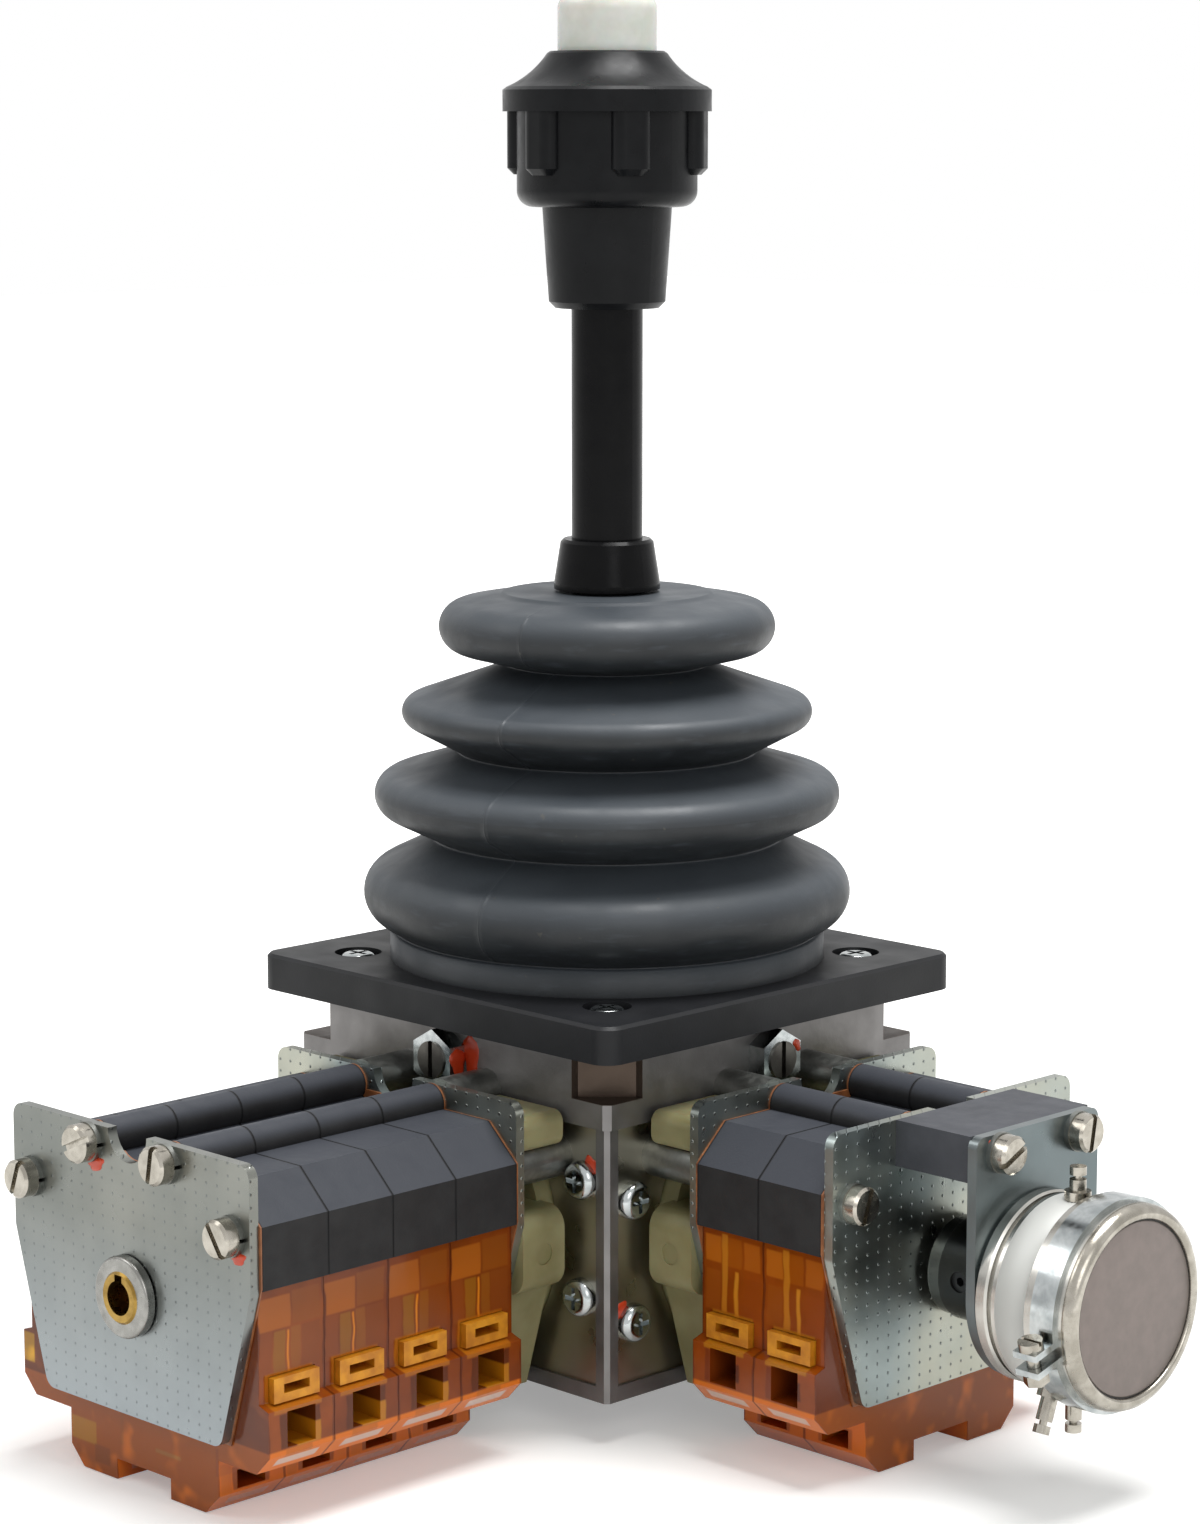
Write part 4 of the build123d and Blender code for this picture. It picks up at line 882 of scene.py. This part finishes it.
# %% Potentiometer dressing
case_low, case_high = box_mm("pot_case")
cover_low, cover_high = box_mm("pot_cover")
AXIS_Y = (case_low[1] + case_high[1]) / 2
AXIS_Z = (case_low[2] + case_high[2]) / 2
LABEL_START = case_low[0] + 4.6
LABEL_END = case_low[0] + 11.6
LABEL_RADIUS = 17.26
LABEL_FOOT = 17.2
LABEL_EDGE = 0.05
RIM_SIDE = [(18.4, 0.0), (18.46, 0.4)]
RIM_REAR = [(18.4, -1.5), (18.0, -0.6), (17.3, -0.12), (16.6, 0.0), (16.1, -0.12), (15.9, -0.5),
            (15.86, -0.9)]
RIM_GAP = [(15.88, -0.78), (15.5, -0.78)]
REAR_DISC = [(15.62, -0.9), (15.6, -0.72), (15.4, -0.66), (8.0, -0.62), (0.01, -0.62)]


def on_pot(radius, along, turn):
    angle = math.radians(turn)
    return along, AXIS_Y + radius * math.cos(angle), AXIS_Z + radius * math.sin(angle)


def shifted(profile, start):
    """A profile moved along the axis."""
    return [(radius, start + along) for radius, along in profile]


def pot_skin(name, profile, finish):
    return place_piece(name, spun_mesh(name, profile, on_pot), finish, "housing")


label_paper, _, _ = start_material("coated_label_paper", "#c9cac6", 0.42)
dark_gap, _, _ = start_material("shadowed_gap", "#161514", 0.6)
label = [(LABEL_FOOT, LABEL_START), (LABEL_RADIUS, LABEL_START + LABEL_EDGE),
         (LABEL_RADIUS, LABEL_END - LABEL_EDGE), (LABEL_FOOT, LABEL_END)]
pot_skin("pot_label", label, label_paper)
end = cover_high[0]
rim = shifted(RIM_SIDE, cover_low[0]) + shifted(RIM_REAR, end)
rim_piece = pot_skin("pot_rear_rim", rim, nickel)
pot_skin("pot_rim_shadow", shifted(RIM_GAP, end), dark_gap)
disc_piece = pot_skin("pot_rear_disc", shifted(REAR_DISC, end), satin_disc)
for piece in (rim_piece, disc_piece):
    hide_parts("pot_cover")
print("potentiometer axis at y", round(AXIS_Y, 2), "z", round(AXIS_Z, 2))

# %% [markdown]
# Sealing lacquer: a fitter marks screws and nuts with a dab of red lacquer, half on the screw and
# half on the metal beside it. A dab is a small flat drop with an uneven edge. Each row of the list
# is one dab: its name, its centre, the side it faces, half its width, half its height and its lean.

# %% Lacquer dabs
red_lacquer, _, _ = start_material("sealing_lacquer", "#c9401c", 0.28)
DAB_STEPS = 20
DAB_RISE = 0.3
DAB_RINGS = [(1.0, 0.0), (0.92, 0.55), (0.7, 0.9), (0.35, 1.0)]
THREE_LOBES, FIVE_LOBES = 0.13, 0.09


def make_dab(name, centre, facing, across, along, lean):
    """A drop on a wall that faces -Y ("front") or +X ("right"): u is to the viewer's right."""
    x, y, z = centre
    points = []
    for share, rise in DAB_RINGS:
        out = DAB_RISE * rise
        for step in range(DAB_STEPS):
            turn = 2 * math.pi * step / DAB_STEPS
            wobble = (1 + THREE_LOBES * math.sin(3 * turn + lean)
                      + FIVE_LOBES * math.sin(5 * turn + 2 * lean))
            wide = across * share * wobble * math.cos(turn)
            high = along * share * wobble * math.sin(turn)
            u = wide * math.cos(lean) - high * math.sin(lean)
            v = wide * math.sin(lean) + high * math.cos(lean)
            front = (x + u, y - out, z + v)
            points.append(front if facing == "front" else (x + out, y + u, z + v))
    faces = ring_faces(len(DAB_RINGS), DAB_STEPS)
    last_ring = (len(DAB_RINGS) - 1) * DAB_STEPS
    faces.append(tuple(last_ring + step for step in range(DAB_STEPS)))
    place_piece(name, smooth_mesh(name, points, faces), red_lacquer, "housing")


nut_low, nut_high = box_mm("stop_nuts")
nut_height = (nut_low[2] + nut_high[2]) / 2
block_face = box_mm("upper_housing")[0][1]
case_face = box_mm("face_plate_front")[0][1]
end_face = box_mm("outer_plate_front")[0][1]
dabs = [
    ("stop_front_block", (6.6, block_face, nut_height + 0.8), "front", 2.0, 4.6, 0.1),
    ("stop_front_nut", (5.0, block_face - 2.0, nut_height), "right", 1.8, 2.7, 0.2),
    ("stop_right", (nut_high[0], 4.0, nut_height + 2.2), "right", 0.8, 1.4, 0.5),
    ("tie_ridge", (-8.9, end_face, -15.0), "front", 2.2, 1.2, 0.3),
    ("tie_side", (30.0, end_face, -24.4), "front", 1.9, 1.1, 0.2),
    ("case_front", (37.0, case_face, -21.4), "front", 2.0, 1.7, 2.6),
    ("case_right", (-case_face, -37.4, -48.6), "right", 1.8, 1.5, 0.7),
    ("bracket", (case_low[0], -11.6, -8.9), "right", 2.0, 1.0, 0.2),
]
for name, centre, facing, across, along, lean in dabs:
    make_dab("lacquer_" + name, centre, facing, across, along, lean)
print(len(dabs), "lacquer dabs")

# %% [markdown]
# The camera stands where the photographer stood: in front of the corner between the two stacks,
# a little above the plate and about 77 cm away, with a long lens.

# %% Camera
CAMERA_AZIMUTH = 45.07
CAMERA_ELEVATION = 9.10
CAMERA_DISTANCE = 774.2
CAMERA_SIDE = -1.35
CAMERA_AIM_HEIGHT = 44.5
FOCAL_PIXELS = 4000
IMAGE_HEIGHT = 1524
SENSOR_WIDTH = 36.0


def make_camera():
    azimuth, elevation = math.radians(CAMERA_AZIMUTH), math.radians(CAMERA_ELEVATION)
    data = bpy.data.cameras.new("camera")
    data.sensor_width = SENSOR_WIDTH
    data.lens = FOCAL_PIXELS * SENSOR_WIDTH / IMAGE_HEIGHT
    data.clip_start, data.clip_end = 0.05, 50
    camera = bpy.data.objects.new("camera", data)
    bpy.context.scene.collection.objects.link(camera)
    back = Vector((math.sin(azimuth) * math.cos(elevation),
                   -math.cos(azimuth) * math.cos(elevation), math.sin(elevation)))
    aim = Vector((CAMERA_SIDE * math.cos(azimuth), CAMERA_SIDE * math.sin(azimuth),
                  CAMERA_AIM_HEIGHT))
    camera.location = (aim + back * CAMERA_DISTANCE) * MM
    camera.rotation_mode = "QUATERNION"
    camera.rotation_quaternion = (-back).to_track_quat("-Z", "Y")
    bpy.context.scene.camera = camera
    return camera


camera = make_camera()
print("lens", round(camera.data.lens, 1), "mm")

# %% [markdown]
# The floor is a sheet of pale paper that glows until it is as white as the room, so that no
# horizon shows. Near the part it glows less, which keeps the part's soft shadow. The glow is for
# the camera and, weaker, for mirrors, and lights nothing: that is left to the lamps and the room.
# This cell's sizes are in metres, because the floor belongs to the room and not to the part.

# %% Floor
FLOOR_REACH = 4.0
FLOOR_GAP = 0.0002
FADE_START = 0.16
FADE_END = 0.55
NEAR_GLOW = 0.3
MIRRORED_GLOW = 0.7


def make_floor(height):
    mesh = bpy.data.meshes.new("studio_floor")
    corners = ((-1, -1), (1, -1), (1, 1), (-1, 1))
    mesh.from_pydata([(x * FLOOR_REACH, y * FLOOR_REACH, height) for x, y in corners], [],
                     [(0, 1, 2, 3)])
    floor = bpy.data.objects.new("studio_floor", mesh)
    bpy.context.scene.collection.objects.link(floor)
    material, tree, shader = start_material("pale_paper", "#e8e8e6", 0.9)
    place = add_node(tree, "ShaderNodeTexCoord").outputs["Object"]
    away = add_node(tree, "ShaderNodeVectorMath", {0: place}, operation="LENGTH")
    glow = add_node(tree, "ShaderNodeMapRange",
                    {"Value": away.outputs["Value"], "From Min": FADE_START,
                     "From Max": FADE_END, "To Min": NEAR_GLOW, "To Max": 1.0})
    ray = add_node(tree, "ShaderNodeLightPath")
    mirrored = add_node(tree, "ShaderNodeMath",
                        {0: ray.outputs["Is Glossy Ray"], 1: MIRRORED_GLOW},
                        operation="MULTIPLY")
    seen = add_node(tree, "ShaderNodeMath",
                    {0: ray.outputs["Is Camera Ray"], 1: mirrored.outputs[0]},
                    operation="MAXIMUM")
    lift = add_node(tree, "ShaderNodeMath", {0: seen.outputs[0], 1: glow.outputs["Result"]},
                    operation="MULTIPLY")
    light = add_node(tree, "ShaderNodeEmission",
                     {"Color": (1, 1, 1, 1), "Strength": lift.outputs[0]})
    both = add_node(tree, "ShaderNodeAddShader", {0: shader.outputs[0], 1: light.outputs[0]})
    tree.links.new(both.outputs[0], tree.nodes["Material Output"].inputs["Surface"])
    mesh.materials.append(material)
    floor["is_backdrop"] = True


make_floor(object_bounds()[0][2] - FLOOR_GAP)
print("floor ready,", 2 * FLOOR_REACH, "m across")

# %% [markdown]
# The light is a plain studio: a white room, one large soft lamp on each side and one above.
# The room looks fully white to the camera, in mirrors and through clear plastic, but lights the
# part less, so that the lamps give it its shape. A lamp's row is its place and its width in
# metres, and its power in watts.

# %% Lamps and world
LAMP_AIM = Vector((0, 0, 0.04))
ROOM_LIGHT = 0.3
LAMPS = [
    ("key_softbox", (-0.9, -1.1, 1.2), 0.9, 5.5),
    ("fill_softbox", (1.3, -0.7, 0.8), 0.9, 4.5),
    ("top_softbox", (0.2, 0.2, 1.6), 1.0, 32),
]


def make_lamp(name, place, size, power):
    data = bpy.data.lights.new(name, "AREA")
    data.shape = "DISK"
    data.size = size
    data.energy = power
    lamp = bpy.data.objects.new(name, data)
    bpy.context.scene.collection.objects.link(lamp)
    lamp.location = place
    lamp.rotation_mode = "QUATERNION"
    lamp.rotation_quaternion = (LAMP_AIM - Vector(place)).to_track_quat("-Z", "Y")


def make_world():
    world = bpy.data.worlds.new("white_room")
    bpy.context.scene.world = world
    world.use_nodes = True
    tree = world.node_tree
    ray = add_node(tree, "ShaderNodeLightPath")
    white = ray.outputs["Is Camera Ray"]
    for kind in ("Is Transmission Ray", "Is Glossy Ray"):
        either = add_node(tree, "ShaderNodeMath", {0: white, 1: ray.outputs[kind]},
                          operation="MAXIMUM")
        white = either.outputs[0]
    strength = add_node(tree, "ShaderNodeMapRange",
                        {"Value": white, "To Min": ROOM_LIGHT, "To Max": 1.0})
    background = tree.nodes["Background"]
    background.inputs["Color"].default_value = (1, 1, 1, 1)
    tree.links.new(strength.outputs["Result"], background.inputs["Strength"])


make_world()
for name, place, size, power in LAMPS:
    make_lamp(name, place, size, power)
bpy.context.scene.view_settings.view_transform = "Standard"
print("studio ready,", len(LAMPS), "lamps")
